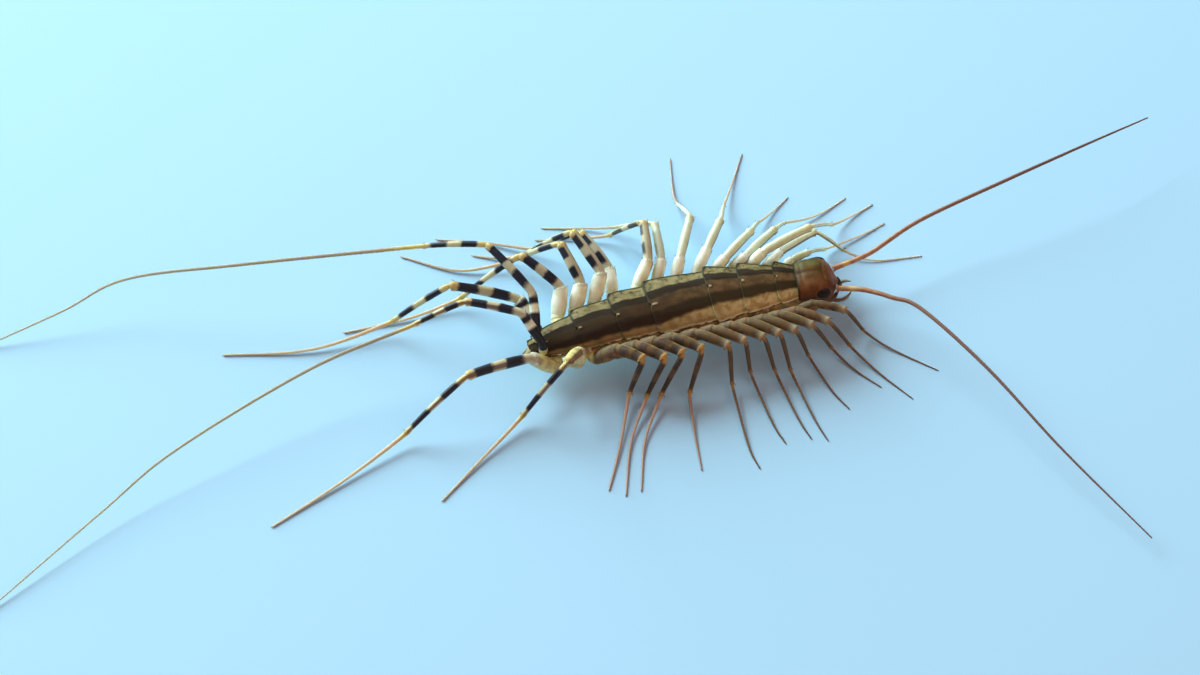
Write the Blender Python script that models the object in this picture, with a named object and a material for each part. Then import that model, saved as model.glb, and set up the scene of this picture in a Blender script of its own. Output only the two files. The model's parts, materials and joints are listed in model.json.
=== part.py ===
"""House centipede, life size, standing still on the floor.

Frame: +X points ahead of the animal, +Y to its left, +Z up, and one Blender unit is a metre.
The origin is on the floor, under the middle of the box that holds the whole animal.

Sizes below are in millimetres and are turned into metres as each mesh is made. A heading is an
angle in degrees seen from above: 0 is straight ahead, 90 straight out to the limb's own side and
180 straight back. A reach is a distance along the floor.
"""
import math

import bmesh
import bpy
from mathutils import Matrix, Vector

MM = 0.001
GAP = 0.3

# Where the animal stands in its own box
STAND_AT = (10.43, 7.51)

# Body line seen from above, a gentle arc
BEND_RADIUS = 80.0
BEND_CENTRE_X = 2.5
BEND_CENTRE_Y = -0.3

# Trunk: the rear edge of each back plate, and the profile along the body. The back leans a little
# to the right, and the plates are wider than the body under them.
NECK_X = 9.6
PLATE_REAR_X = (8.0, 5.1, 2.4, -2.6, -5.6, -8.9, -11.8, -12.9)
TRUNK_HALF_WIDTH = ((-14.0, 0.45), (-12.9, 0.85), (-11.7, 1.22), (-9.0, 1.75), (-5.7, 2.05),
                    (-2.4, 2.35), (2.4, 2.45), (5.1, 2.2), (8.0, 1.8), (9.6, 1.55))
TRUNK_TOP = ((-14.0, 2.55), (-12.9, 2.71), (-11.7, 3.03), (-9.0, 3.40), (-5.0, 3.67), (0.0, 3.67),
             (5.0, 3.54), (9.6, 3.37))
TRUNK_BOTTOM = ((-14.0, 2.2), (-12.9, 1.9), (-9.0, 1.55), (0.0, 1.4), (9.6, 1.4))
PLATE_SHARE = 1.06
PLATE_DROP = 0.27
PLATE_THICKNESS = 0.22
BACK_LEAN = 0.14
FLANK_SHARE = 0.72
NOTCH_DEPTH = 0.3

# Head and tail: rounded boxes. A station is x, half width, top and bottom
HEAD_STATIONS = ((9.9, 1.40, 3.80, 1.60), (10.3, 1.62, 4.00, 1.45), (11.1, 1.75, 4.02, 1.40),
                 (11.9, 1.70, 3.80, 1.40), (12.4, 1.45, 3.35, 1.50), (12.75, 0.95, 2.85, 1.75),
                 (12.9, 0.50, 2.60, 1.95))
TAIL_STATIONS = ((-13.2, 0.72, 2.66, 1.90), (-13.6, 0.62, 2.58, 1.95), (-13.9, 0.30, 2.45, 2.10))
BOX_ROUNDNESS = 2.6
EYE_X = 11.35
EYE_SIDE = 1.62
EYE_HEIGHT = 3.05
EYE_RADII = (0.62, 0.34, 0.52)

# Feelers: heading and reach of each stretch, and the height at each point
FEELER_ROOT = (12.95, 1.15)
FEELER_HEIGHTS = {"left": (2.75, 3.2, 3.8, 4.4, 4.6, 4.0),
                  "right": (2.75, 3.0, 3.2, 3.3, 2.8, 2.0, 1.0)}
FEELER_ROUTE = {"left": ((8, 2.9), (21, 5.0), (13, 7.8), (14, 7.6), (18, 6.3)),
                "right": ((25, 1.9), (38, 2.3), (43, 2.8), (62, 7.7), (67, 9.6), (64, 10.7))}
FEELER_RADII = (0.34, 0.26, 0.25, 0.13)

# Legs: where each pair is rooted along the body, and how thick its parts are
LEG_ROOT_X = (8.8, 7.2, 5.8, 4.4, 3.0, 1.6, 0.0, -1.6, -3.3, -5.2, -6.9, -8.5, -10.0, -11.8, -12.4)
LEG_ROOT_HEIGHT = 2.2
ROOT_BELOW_PLATE = 0.72
LAST_ROOT_SIDE = 0.6
LAST_ROOT_HEIGHT = 3.12
LAST_ROOT_REACH = 0.45
COXA_REACH = 0.75
COXA_RADIUS = 0.34
SHIN_RADIUS = 0.26
FOOT_RADIUS = 0.25
TOE_RADIUS = 0.13
FOOT_SINK = 0.70
JOINT_ROUNDING = 0.36
RING_SIDES = 8

# The flat thigh and the femur are stouter on the rear legs: sizes by the number of the pair
THIGH_HALF_WIDTH = ((1, 0.27), (8, 0.31), (9, 0.42), (13, 0.47), (14, 0.38), (15, 0.32))
THIGH_HALF_HEIGHT = ((1, 0.40), (8, 0.44), (9, 0.54), (13, 0.56), (14, 0.50), (15, 0.42))
FEMUR_RADIUS = ((1, 0.28), (8, 0.30), (9, 0.36), (12, 0.37), (13, 0.32), (14, 0.37), (15, 0.31))

# Posture of the legs. Each row gives heading and reach of the prefemur, the femur, the tibia and
# each stretch of the foot, then the heights of the prefemur's end, the knee and the ankle.
LEG_POSTURE = {
    "left": (
        ((45, 1.1), (21, 1.6), (42, 2.4), ((15, 3.5), (20, 2.3)), (2.8, 2.6, 0.45)),
        ((46, 2.5), (27, 3.9), (-38, 2.5), ((-29, 2.5), (-7, 3.9)), (2.5, 1.9, 0.6)),
        ((32, 1.8), (13, 4.4), (46, 3.7), ((25, 2.1), (23, 2.1)), (3.8, 4.5, 0.7)),
        ((38, 2.0), (35, 3.8), (58, 2.6), ((10, 2.9), (24, 3.0)), (3.1, 3.0, 0.7)),
        ((43, 1.9), (39, 3.6), (66, 2.7), ((37, 2.0), (37, 2.1)), (3.2, 3.1, 0.7)),
        ((57, 3.0), (56, 3.2), (71, 3.4), ((61, 3.1), (61, 3.1)), (3.3, 3.2, 0.7)),
        ((69, 2.4), (64, 4.3), (93, 3.5), ((87, 1.7), (79, 3.6)), (3.2, 3.3, 0.7)),
        ((69, 2.7), (84, 3.8), (137, 3.4), ((160, 3.0), (164, 3.2)), (3.2, 3.2, 0.7)),
        ((59, 3.1), (82, 3.5), (140, 3.1), ((164, 2.9), (167, 3.1)), (3.5, 4.2, 0.7)),
        ((84, 3.4), (114, 3.8), (153, 3.9), ((151, 3.9), (159, 4.2)), (2.9, 3.9, 0.6)),
        ((67, 2.9), (112, 4.0), (154, 3.8), ((155, 2.2), (155, 2.3)), (3.9, 5.2, 1.4)),
        ((69, 2.7), (105, 3.5), (147, 4.4), ((171, 4.3), (147, 4.8)), (3.6, 5.0, 0.8)),
        ((75, 3.1), (134, 3.9), (178, 5.1), ((186, 4.6), (180, 5.2)), (3.6, 5.2, 0.8)),
        ((107, 3.5), (164, 5.6), (174, 4.8), ((184, 6.9), (169, 7.1)), (3.4, 5.0, 1.1)),
        ((84, 2.4), (120, 5.3), (159, 5.3), ((168, 14.7), (167, 9.4), (187, 5.6), (187, 7.5)),
         (6.0, 7.5, 6.5)),
    ),
    "right": (
        ((41, 1.9), (30, 2.7), (21, 1.4), ((48, 2.7), (44, 4.3)), (3.1, 3.1, 0.7)),
        ((48, 2.2), (40, 2.9), (28, 1.7), ((60, 3.4), (58, 3.6)), (3.2, 3.3, 0.7)),
        ((48, 2.2), (40, 2.9), (23, 1.5), ((59, 2.7), (53, 2.6)), (3.2, 3.3, 0.7)),
        ((48, 2.2), (42, 2.9), (43, 1.1), ((74, 3.6), (67, 2.3)), (3.2, 3.3, 0.7)),
        ((48, 2.2), (42, 2.9), (78, 1.8), ((82, 4.8), (78, 2.5)), (3.3, 3.4, 0.7)),
        ((48, 2.2), (42, 2.9), (71, 1.5), ((82, 4.8), (77, 2.3)), (3.3, 3.4, 0.7)),
        ((48, 2.2), (42, 2.9), (86, 1.1), ((84, 5.1), (77, 2.2)), (3.3, 3.4, 0.7)),
        ((48, 2.3), (42, 3.0), (98, 1.8), ((92, 5.9), (83, 2.4)), (3.4, 3.5, 0.7)),
        ((51, 2.1), (44, 2.7), (130, 2.6), ((98, 3.4), (96, 3.9)), (3.4, 3.6, 0.7)),
        ((45, 2.4), (46, 2.6), (147, 2.8), ((121, 4.5), (108, 4.8)), (3.5, 3.7, 0.7)),
        ((45, 2.5), (47, 2.7), (150, 2.2), ((121, 4.4), (109, 5.3)), (3.6, 3.8, 0.7)),
        ((43, 2.4), (46, 2.4), (153, 1.6), ((113, 5.1), (116, 4.3)), (3.6, 3.9, 0.7)),
        ((90, 1.3), (129, 2.1), (163, 4.4), ((144, 5.2), (142, 4.9)), (3.9, 5.0, 0.7)),
        ((160, 2.1), (169, 5.8), (162, 5.9), ((154, 6.7), (156, 6.9)), (3.7, 4.5, 0.9)),
        ((233, 2.2), (205, 4.7), (179, 4.2), ((171, 9.2), (160, 13.0), (152, 8.0), (149, 14.0)),
         (6.0, 6.4, 4.8)),
    ),
}

# Palps and poison claws under the head: (x, distance to the side, height, radius)
PALP_ROUTE = ((12.0, 0.5, 0.86, 0.24), (12.4, 0.65, 0.72, 0.25), (13.0, 0.85, 0.9, 0.25),
              (13.5, 0.8, 1.25, 0.22), (13.9, 0.45, 1.55, 0.12))
CLAW_ROUTE = ((8.7, 0.85, 0.85, 0.26), (9.3, 1.35, 0.62, 0.34), (10.2, 1.5, 0.65, 0.32),
              (10.9, 1.1, 0.70, 0.24), (11.2, 0.45, 0.75, 0.12))

# Colours: base colour, roughness
COLOURS = {
    "plates": ((0.23, 0.18, 0.08), 0.45),
    "head": ((0.26, 0.12, 0.05), 0.45),
    "eyes": ((0.03, 0.02, 0.02), 0.2),
    "feelers": ((0.48, 0.24, 0.10), 0.5),
    "mouthparts": ((0.42, 0.26, 0.11), 0.5),
    "legs": ((0.56, 0.50, 0.30), 0.5),
}


def follow(profile, x):
    """Read a profile of (x, value) pairs at x."""
    if x <= profile[0][0]:
        return profile[0][1]
    for (x0, v0), (x1, v1) in zip(profile, profile[1:]):
        if x <= x1:
            return v0 + (v1 - v0) * (x - x0) / (x1 - x0)
    return profile[-1][1]


def body_point(x, side, height):
    """A point at station x of the bent body line, some way to the left of it."""
    turn = -math.atan((x - BEND_CENTRE_X) / BEND_RADIUS)
    line_y = BEND_CENTRE_Y - (x - BEND_CENTRE_X) ** 2 / (2 * BEND_RADIUS)
    return Vector((x - side * math.sin(turn), line_y + side * math.cos(turn), height))


def step(point, heading, reach, sign, height):
    """The point that lies a reach away from another along a heading, at its own height."""
    angle = math.radians(heading)
    return Vector((point.x + reach * math.cos(angle), point.y + sign * reach * math.sin(angle), height))


def material(name):
    """One Principled material for each kind of surface."""
    if name in bpy.data.materials:
        return bpy.data.materials[name]
    colour, roughness = COLOURS[name]
    made = bpy.data.materials.new(name)
    made.use_nodes = True
    shader = made.node_tree.nodes["Principled BSDF"]
    shader.inputs["Base Color"].default_value = (*colour, 1.0)
    shader.inputs["Roughness"].default_value = roughness
    shader.inputs["Metallic"].default_value = 0.0
    return made


def loft(name, rings, finish, collection):
    """One closed solid through rings of points, all with the same number of points."""
    sides = len(rings[0])
    mesh_points = []
    for ring in rings:
        for point in ring:
            x, y = point.x + STAND_AT[0], point.y + STAND_AT[1]
            mesh_points.append((x * MM, y * MM, max(point.z, 0.0) * MM))
    faces = []
    for level in range(len(rings) - 1):
        for side in range(sides):
            a = level * sides + side
            b = level * sides + (side + 1) % sides
            faces.append((a, b, b + sides, a + sides))
    faces.append(tuple(reversed(range(sides))))
    faces.append(tuple(range((len(rings) - 1) * sides, len(rings) * sides)))
    mesh = bpy.data.meshes.new(name)
    mesh.from_pydata(mesh_points, [], faces)
    shell = bmesh.new()
    shell.from_mesh(mesh)
    bmesh.ops.recalc_face_normals(shell, faces=shell.faces)
    shell.to_mesh(mesh)
    shell.free()
    mesh.shade_smooth()
    mesh.set_sharp_from_angle(angle=math.radians(50))
    mesh.materials.append(material(finish))
    thing = bpy.data.objects.new(name, mesh)
    collection.objects.link(thing)
    return thing


def limb_rings(stations):
    """Oval rings square to a route. A station is a point, a half width and a half height."""
    points = [station[0] for station in stations]
    tangents = []
    for index in range(len(points)):
        before = points[max(index - 1, 0)]
        after = points[min(index + 1, len(points) - 1)]
        tangents.append((after - before).normalized())
    upright = Vector((0, 0, 1)) if abs(tangents[0].z) < 0.9 else Vector((1, 0, 0))
    rings = []
    for (point, half_width, half_height), tangent in zip(stations, tangents):
        upright = (upright - tangent * upright.dot(tangent)).normalized()
        across = tangent.cross(upright)
        ring = []
        for side in range(RING_SIDES):
            angle = 2 * math.pi * (side + 0.5) / RING_SIDES
            sideways = across * (half_width * math.cos(angle))
            ring.append(point + sideways + upright * (half_height * math.sin(angle)))
        rings.append(ring)
    return rings


def smooth_route(points, share):
    """The point at a share from 0 to 1 of a smooth curve through the given points."""
    spans = len(points) - 1
    place = min(share * spans, spans - 1e-9)
    index = int(place)
    t = place - index
    p1, p2 = points[index], points[index + 1]
    p0 = points[index - 1] if index > 0 else p1 * 2 - p2
    p3 = points[index + 2] if index + 2 <= spans else p2 * 2 - p1
    return (p1 * 2 + (p2 - p0) * t + (p0 * 2 - p1 * 5 + p2 * 4 - p3) * t ** 2
            + (p1 * 3 - p0 - p2 * 3 + p3) * t ** 3) / 2


def rounded_joint(before, joint, after, size_before, size_after):
    """Three stations that carry a limb round a joint."""
    reach_in = min(JOINT_ROUNDING, (joint - before).length * 0.4)
    reach_out = min(JOINT_ROUNDING, (after - joint).length * 0.4)
    start = joint + (before - joint).normalized() * reach_in
    end = joint + (after - joint).normalized() * reach_out
    middle = (start + joint * 2 + end) / 4
    size_middle = tuple((a + b) / 2 for a, b in zip(size_before, size_after))
    return [(start, *size_before), (middle, *size_middle), (end, *size_after)]


def foot_stations(ankle, stretches, sign, last_pair):
    """The many-jointed foot: it comes down from the ankle and lies along the floor."""
    points = [ankle]
    for heading, reach in stretches:
        points.append(step(points[-1], heading, reach, sign, 0.0))
    count = 12 if last_pair else 6
    stations = []
    for index in range(1, count + 1):
        share = index / count
        spot = smooth_route(points, share)
        radius = FOOT_RADIUS + (TOE_RADIUS - FOOT_RADIUS) * max(0.0, share * 3 - 2)
        fall = (1 - share) if last_pair else (1 - share) ** 3
        resting = FOOT_SINK * radius
        spot.z = resting + (ankle.z - resting) * fall
        stations.append((spot, radius, radius))
    return stations


def leg(side, number, collection):
    """One leg: coxa, prefemur, femur, tibia and foot in one solid."""
    sign = 1 if side == "left" else -1
    thigh, femur, shin, stretches, heights = LEG_POSTURE[side][number - 1]
    x = LEG_ROOT_X[number - 1]
    last_pair = number == len(LEG_ROOT_X)
    if last_pair:
        root = body_point(x, sign * LAST_ROOT_SIDE, LAST_ROOT_HEIGHT)
        coxa = root + Vector((0, 0, LAST_ROOT_REACH))
    else:
        flank = FLANK_SHARE * follow(TRUNK_HALF_WIDTH, x) + GAP
        height = min(LEG_ROOT_HEIGHT, plate_edge(x, sign)[1] - PLATE_THICKNESS - ROOT_BELOW_PLATE)
        root = body_point(x, sign * flank, height)
        coxa = body_point(x, sign * (flank + COXA_REACH), height)
    hip = step(root, *thigh, sign, heights[0])
    knee = step(hip, *femur, sign, heights[1])
    ankle = step(knee, *shin, sign, heights[2])
    round_coxa = (COXA_RADIUS, COXA_RADIUS)
    thick = (follow(THIGH_HALF_WIDTH, number), follow(THIGH_HALF_HEIGHT, number))
    round_femur = (follow(FEMUR_RADIUS, number),) * 2
    round_shin = (SHIN_RADIUS, SHIN_RADIUS)
    stations = [(root, *round_coxa), (coxa, *round_coxa), ((coxa * 2 + hip) / 3, *thick)]
    stations += rounded_joint(coxa, hip, knee, thick, round_femur)
    stations += rounded_joint(hip, knee, ankle, round_femur, round_shin)
    feet = foot_stations(ankle, stretches, sign, last_pair)
    stations += rounded_joint(knee, ankle, feet[0][0], round_shin, (FOOT_RADIUS, FOOT_RADIUS))
    stations += feet
    return loft(f"leg_{side}_{number:02d}", limb_rings(stations), "legs", collection)


def feeler(side, collection):
    """One long feeler, swept ahead of the head and off the floor."""
    sign = 1 if side == "left" else -1
    points = [body_point(FEELER_ROOT[0], sign * FEELER_ROOT[1], FEELER_HEIGHTS[side][0])]
    for (heading, reach), height in zip(FEELER_ROUTE[side], FEELER_HEIGHTS[side][1:]):
        points.append(step(points[-1], heading, reach, sign, height))
    count = 4 * (len(points) - 1)
    stations = []
    for index in range(count + 1):
        share = index / count
        radius = follow(tuple(zip((0.0, 0.12, 0.7, 1.0), FEELER_RADII)), share)
        stations.append((smooth_route(points, share), radius, radius))
    return loft(f"antenna_{side}", limb_rings(stations), "feelers", collection)


def mouthpart(name, side, route, collection):
    """A short curved limb under the head, a palp or a poison claw."""
    sign = 1 if side == "left" else -1
    points = [body_point(x, sign * out, height) for x, out, height, radius in route]
    radii = tuple((index / (len(route) - 1), spot[3]) for index, spot in enumerate(route))
    count = 2 * (len(route) - 1)
    stations = []
    for index in range(count + 1):
        share = index / count
        radius = follow(radii, share)
        stations.append((smooth_route(points, share), radius, radius))
    return loft(f"{name}_{side}", limb_rings(stations), "mouthparts", collection)


def plate_edge(x, sign):
    """Distance from the midline and height of a back plate's edge, on the left (1) or right (-1)."""
    plate = PLATE_SHARE * follow(TRUNK_HALF_WIDTH, x)
    return plate, follow(TRUNK_TOP, x) - PLATE_DROP * plate + BACK_LEAN * sign * plate


def trunk_side(x, sign, plate_scale, plate_lift):
    """Half an outline of the trunk, from the belly up the flank to the plate that overhangs it."""
    flank = FLANK_SHARE * follow(TRUNK_HALF_WIDTH, x)
    bottom = follow(TRUNK_BOTTOM, x)
    plate, edge = plate_edge(x, sign)
    plate *= plate_scale
    edge += plate_lift
    under = edge - PLATE_THICKNESS
    top = follow(TRUNK_TOP, x) + plate_lift
    belly = bottom + 0.25 * (under - bottom)
    outline = [(flank * 0.55, bottom + 0.04), (flank * 0.9, belly), (flank, (belly + under) / 2),
               (flank * 0.98, under - 0.10), (plate * 0.94, under), (plate, edge),
               (plate * 0.86, edge + 0.30 * (top - edge)), (plate * 0.5, edge + 0.68 * (top - edge))]
    return [body_point(x, sign * side, height) for side, height in outline]


def trunk_ring(x, plate_scale, plate_lift, notch):
    """Outline of the trunk at one station."""
    ring = [body_point(x, 0, follow(TRUNK_BOTTOM, x))]
    ring += trunk_side(x, -1, plate_scale, plate_lift)
    ring.append(body_point(x + notch, 0, follow(TRUNK_TOP, x) + plate_lift))
    ring += reversed(trunk_side(x, 1, plate_scale, plate_lift))
    return ring


def trunk_piece(number, front, rear, collection):
    """A length of the trunk with its raised back plate, a little wider and higher at the rear."""
    length = front - rear
    rings = [trunk_ring(front, 0.93, -0.12, 0),
             trunk_ring(front - 0.25 * length, 0.98, -0.03, 0),
             trunk_ring(front - 0.6 * length, 1.0, 0.0, 0),
             trunk_ring(rear, 1.03, 0.05, NOTCH_DEPTH)]
    return loft(f"trunk_{number}", rings, "plates", collection)


def box_ring(x, half, top, bottom):
    """Outline of the head or the tail at one station, a rounded box."""
    middle = (top + bottom) / 2
    rise = (top - bottom) / 2
    power = BOX_ROUNDNESS
    ring = []
    for side in range(16):
        angle = 2 * math.pi * side / 16
        squared = (abs(math.cos(angle)) ** power + abs(math.sin(angle)) ** power) ** (-1 / power)
        height = middle + rise * squared * math.sin(angle)
        ring.append(body_point(x, half * squared * math.cos(angle), height))
    return ring


def ellipsoid(name, centre, radii, extra, collection):
    """A ball squashed to three radii, each grown by the same amount."""
    bpy.ops.mesh.primitive_uv_sphere_add(segments=14, ring_count=8, radius=1.0)
    ball = bpy.context.object
    ball.name = name
    ball.data.name = name
    sizes = [(radius + extra) * MM for radius in radii]
    place = Vector((centre.x + STAND_AT[0], centre.y + STAND_AT[1], centre.z)) * MM
    ball.data.transform(Matrix.Translation(place) @ Matrix.Diagonal((*sizes, 1.0)))
    for holder in list(ball.users_collection):
        holder.objects.unlink(ball)
    collection.objects.link(ball)
    ball.data.shade_smooth()
    return ball


def head_and_eyes(collection, cutters):
    """The head capsule, with a socket cut for each eye."""
    rings = [box_ring(*station) for station in HEAD_STATIONS]
    head = loft("head", rings, "head", collection)
    for side, sign in (("left", 1), ("right", -1)):
        centre = body_point(EYE_X, sign * EYE_SIDE, EYE_HEIGHT)
        eye = ellipsoid(f"eye_{side}", centre, EYE_RADII, 0.0, collection)
        eye.data.materials.append(material("eyes"))
        socket = ellipsoid(f"socket_{side}", centre, EYE_RADII, GAP, cutters)
        socket.hide_render = True
        socket.display_type = "WIRE"
        cut = head.modifiers.new(f"socket_{side}", "BOOLEAN")
        cut.operation = "DIFFERENCE"
        cut.object = socket
    return head


def main():
    """Build the whole animal."""
    for thing in list(bpy.data.objects):
        bpy.data.objects.remove(thing, do_unlink=True)
    scene = bpy.context.scene
    animal = bpy.data.collections.new("house_centipede")
    cutters = bpy.data.collections.new("cutters")
    scene.collection.children.link(animal)
    scene.collection.children.link(cutters)
    head_and_eyes(animal, cutters)
    front = NECK_X
    for number, rear in enumerate(PLATE_REAR_X, start=1):
        trunk_piece(number, front, rear, animal)
        front = rear - GAP
    loft("tail", [box_ring(*station) for station in TAIL_STATIONS], "plates", animal)
    for side in ("left", "right"):
        feeler(side, animal)
        mouthpart("palp", side, PALP_ROUTE, animal)
        mouthpart("forcipule", side, CLAW_ROUTE, animal)
        for number in range(1, len(LEG_ROOT_X) + 1):
            leg(side, number, animal)


main()
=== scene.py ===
"""House centipede, life size, standing still: its looks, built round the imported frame.

Frame: +X points ahead of the animal, +Y to its left, +Z up, in metres. Sizes in this file are in
millimetres, unless a comment says metres, and become metres as each mesh is made. A heading is an
angle in degrees seen from above: 0 is straight ahead, 90 straight out to the limb's own side and
180 straight back.
"""
import json
import math
import random

import bmesh
import bpy
from bpy.props import FloatProperty, FloatVectorProperty, IntProperty, PointerProperty
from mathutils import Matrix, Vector

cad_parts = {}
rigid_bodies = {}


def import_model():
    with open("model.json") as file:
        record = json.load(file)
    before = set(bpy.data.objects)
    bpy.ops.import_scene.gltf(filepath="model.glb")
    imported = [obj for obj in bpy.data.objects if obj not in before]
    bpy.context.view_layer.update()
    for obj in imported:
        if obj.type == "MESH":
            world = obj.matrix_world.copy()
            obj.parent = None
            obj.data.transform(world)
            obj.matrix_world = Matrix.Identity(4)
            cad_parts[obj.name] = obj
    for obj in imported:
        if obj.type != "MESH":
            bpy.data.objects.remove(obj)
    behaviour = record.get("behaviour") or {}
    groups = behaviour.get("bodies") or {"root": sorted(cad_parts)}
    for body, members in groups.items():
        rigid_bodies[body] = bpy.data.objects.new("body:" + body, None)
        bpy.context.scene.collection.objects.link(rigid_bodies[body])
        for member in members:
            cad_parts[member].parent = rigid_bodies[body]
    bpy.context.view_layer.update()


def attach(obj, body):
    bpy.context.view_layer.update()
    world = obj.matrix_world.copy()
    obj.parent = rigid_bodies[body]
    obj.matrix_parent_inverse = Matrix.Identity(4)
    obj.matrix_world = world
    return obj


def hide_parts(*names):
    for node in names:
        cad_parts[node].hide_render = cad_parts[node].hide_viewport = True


bl_info = {
    "name": "House centipede",
    "version": (1, 0, 0),
    "blender": (4, 5, 0),
    "location": "3D View > Sidebar > Centipede",
    "description": "Skin, back plates, head, eyes, feelers, legs and bristles of a house centipede",
    "category": "Object",
}

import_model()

MM = 0.001
SIDES = {"left": 1, "right": -1}

# Where the animal stands in its own box, and the gentle arc of its body
STAND_AT = (10.43, 7.51)
BEND_RADIUS = 80.0
BEND_CENTRE_X = 2.5
BEND_CENTRE_Y = -0.3

# Trunk profiles along the body: pairs of station and value. The back leans a little to the right.
TRUNK_HALF_WIDTH = ((-14.0, 0.45), (-12.9, 0.85), (-11.7, 1.22), (-9.0, 1.75), (-5.7, 2.05),
                    (-2.4, 2.35), (2.4, 2.45), (5.1, 2.2), (8.0, 1.8), (9.6, 1.55), (10.3, 1.45))
TRUNK_TOP = ((-14.0, 2.55), (-12.9, 2.71), (-11.7, 3.03), (-9.0, 3.40), (-5.0, 3.67), (0.0, 3.67),
             (5.0, 3.54), (9.6, 3.37), (10.3, 3.35))
TRUNK_BOTTOM = ((-14.0, 2.2), (-12.9, 1.9), (-9.0, 1.55), (0.0, 1.4), (9.6, 1.4), (10.3, 1.6))
NECK_X = 9.6
PLATE_REAR_X = (8.0, 5.1, 2.4, -2.6, -5.6, -8.9, -11.8, -12.9)
PLATE_SHARE = 1.06
PLATE_DROP = 0.27
PLATE_DEPTH = 0.22
BACK_LEAN = 0.14
FLANK_SHARE = 0.72
STRIPE_ROLL = (-0.07, 0.14)
TAIL_CAP_X = -12.6
TAIL_CAP_LENGTH = 1.375
ROOT_GAP = 0.3
SKIN_BELOW_TOP = 0.26
BODY_END_X = 10.25

# Head: stations of x, half width, top and bottom, then the eyes and the feelers' sockets
HEAD_STATIONS = ((9.30, 1.58, 3.76, 1.80), (9.7, 1.74, 4.00, 1.55), (11.0, 1.82, 4.06, 1.40),
                 (11.7, 1.74, 3.86, 1.40), (12.2, 1.48, 3.42, 1.50), (12.55, 1.02, 2.95, 1.72),
                 (12.80, 0.45, 2.60, 2.00))
HEAD_ROUNDNESS = 3.0
EYE_CENTRE = (11.30, 1.60, 3.05)
EYE_RADII = (0.60, 0.30, 0.48)
EYE_INNER_EDGE = -0.55
SOCKET_PLACE = (1.02, 2.75)
SOCKET_RADIUS = 0.36

# Upper lip: x and height of its top, then its size. Jaws: route, then size at the root and taper.
LIP_PLACE = (12.78, 2.02)
LIP_HALF_WIDTH = 0.62
LIP_LENGTH = 0.62
LIP_BULGE = 0.22
JAW_ROUTE = ((11.3, 1.25, 1.55), (11.9, 1.15, 1.40), (12.4, 0.85, 1.42), (12.72, 0.40, 1.50))
JAW_HALF_WIDTH = (0.30, 0.18)
JAW_HALF_HEIGHT = (0.24, 0.12)

# Feelers: heading and reach of each stretch, and the height at each point
FEELER_ROOT = (12.95, 1.15)
FEELER_SINK = (0.45, 0.12, 0.05)
FEELER_HEIGHTS = {"left": (2.75, 3.2, 3.8, 4.4, 4.6, 4.0),
                  "right": (2.75, 3.0, 3.2, 3.3, 2.8, 2.0, 1.0)}
FEELER_ROUTE = {"left": ((8, 2.9), (21, 5.0), (13, 7.8), (14, 7.6), (18, 6.3)),
                "right": ((25, 1.9), (38, 2.3), (43, 2.8), (62, 7.7), (67, 9.6), (64, 10.7))}
FEELER_RADIUS = ((0.0, 0.30), (0.015, 0.36), (0.03, 0.27), (0.04, 0.31), (0.055, 0.24), (0.3, 0.21),
                 (0.7, 0.15), (1.0, 0.06))

# Legs: where each pair is rooted, and sizes that follow the number of the pair
LEG_ROOT_X = (8.8, 7.2, 5.8, 4.4, 3.0, 1.6, 0.0, -1.6, -3.3, -5.2, -6.9, -8.5, -10.0, -11.8, -12.4)
LEG_ROOT_HEIGHT = 2.2
ROOT_BELOW_PLATE = 0.72
LAST_ROOT_SIDE = 0.6
LAST_ROOT_HEIGHT = 3.12
LAST_ROOT_REACH = 0.45
LAST_ROOT_SINK = 0.7
COXA_REACH = 0.75
COXA_SINK = (0.6, 0.1)
COXA_RADIUS = ((1, 0.54), (3, 0.62), (12, 0.66), (14, 0.78), (15, 0.38))
THIGH_HALF_WIDTH = ((1, 0.42), (3, 0.50), (8, 0.52), (9, 0.56), (12, 0.66), (14, 0.66), (15, 0.36))
THIGH_HALF_HEIGHT = ((1, 0.46), (8, 0.54), (9, 0.58), (13, 0.62), (14, 0.62), (15, 0.42))
FEMUR_RADIUS = ((1, 0.33), (3, 0.38), (8, 0.39), (9, 0.42), (12, 0.45), (13, 0.42), (14, 0.44),
                (15, 0.38))
FOLDED_LEG = ("right", 13)
FOLDED_FEMUR_RADIUS = 0.54
NEAR_FEMUR_SHARE = 1.1
OLIVE_END = {("right", 13): 3.08, ("right", 14): 1.88}
SHIN_RADIUS = ((1, 0.17), (8, 0.20), (9, 0.23), (14, 0.27), (15, 0.26))
FOOT_RADIUS = ((1, 0.12), (8, 0.13), (9, 0.15), (14, 0.19), (15, 0.18))
TOE_SHARE = 0.42
LIMB_STEP = 0.07
STEPS_A_RING = 4
JOINT_SMOOTHING, JOINT_PASSES = 4, 2

# Bristles of the limbs: the places along a leg where they stand, their angles round it and how
# their sizes vary, and the rear side from which the bands of each pair begin
FOOT_START = 4.0
THIGH_HAIRS_FROM = 1.25
FOOT_HAIRS_FROM = 4.05
BRISTLE_STEPS = 3
BRISTLE_SINK = 0.9
RIDGES = 6
RIDGE_ANGLE = 0.35
SOLE_ANGLES = (-2.3, -0.85)
SPINE_SIZES, SOLE_SIZES, SPUR_SIZES = (0.7, 1.2), (0.7, 1.1), (0.65, 1.1)
SPUR_PLACES = (1.94, 2.93, 3.94)
SPUR_ANGLES = (0.4, 1.57, 2.75, 4.0, 5.4)
BAND_EDGE = ((8, 0.5), (9, 0.35), (10, -0.25), (12, -0.3), (13, -1.4))
# The last right (near) leg that carries painted shade
LAST_SHADED_LEG = 12

# Dark bands: their middles and half widths along a leg. Leg finishes: roughness, shine and depth.
DARK_BANDS = ((2.26, 0.14), (2.74, 0.14), (3.27, 0.13), (3.74, 0.13))
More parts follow.
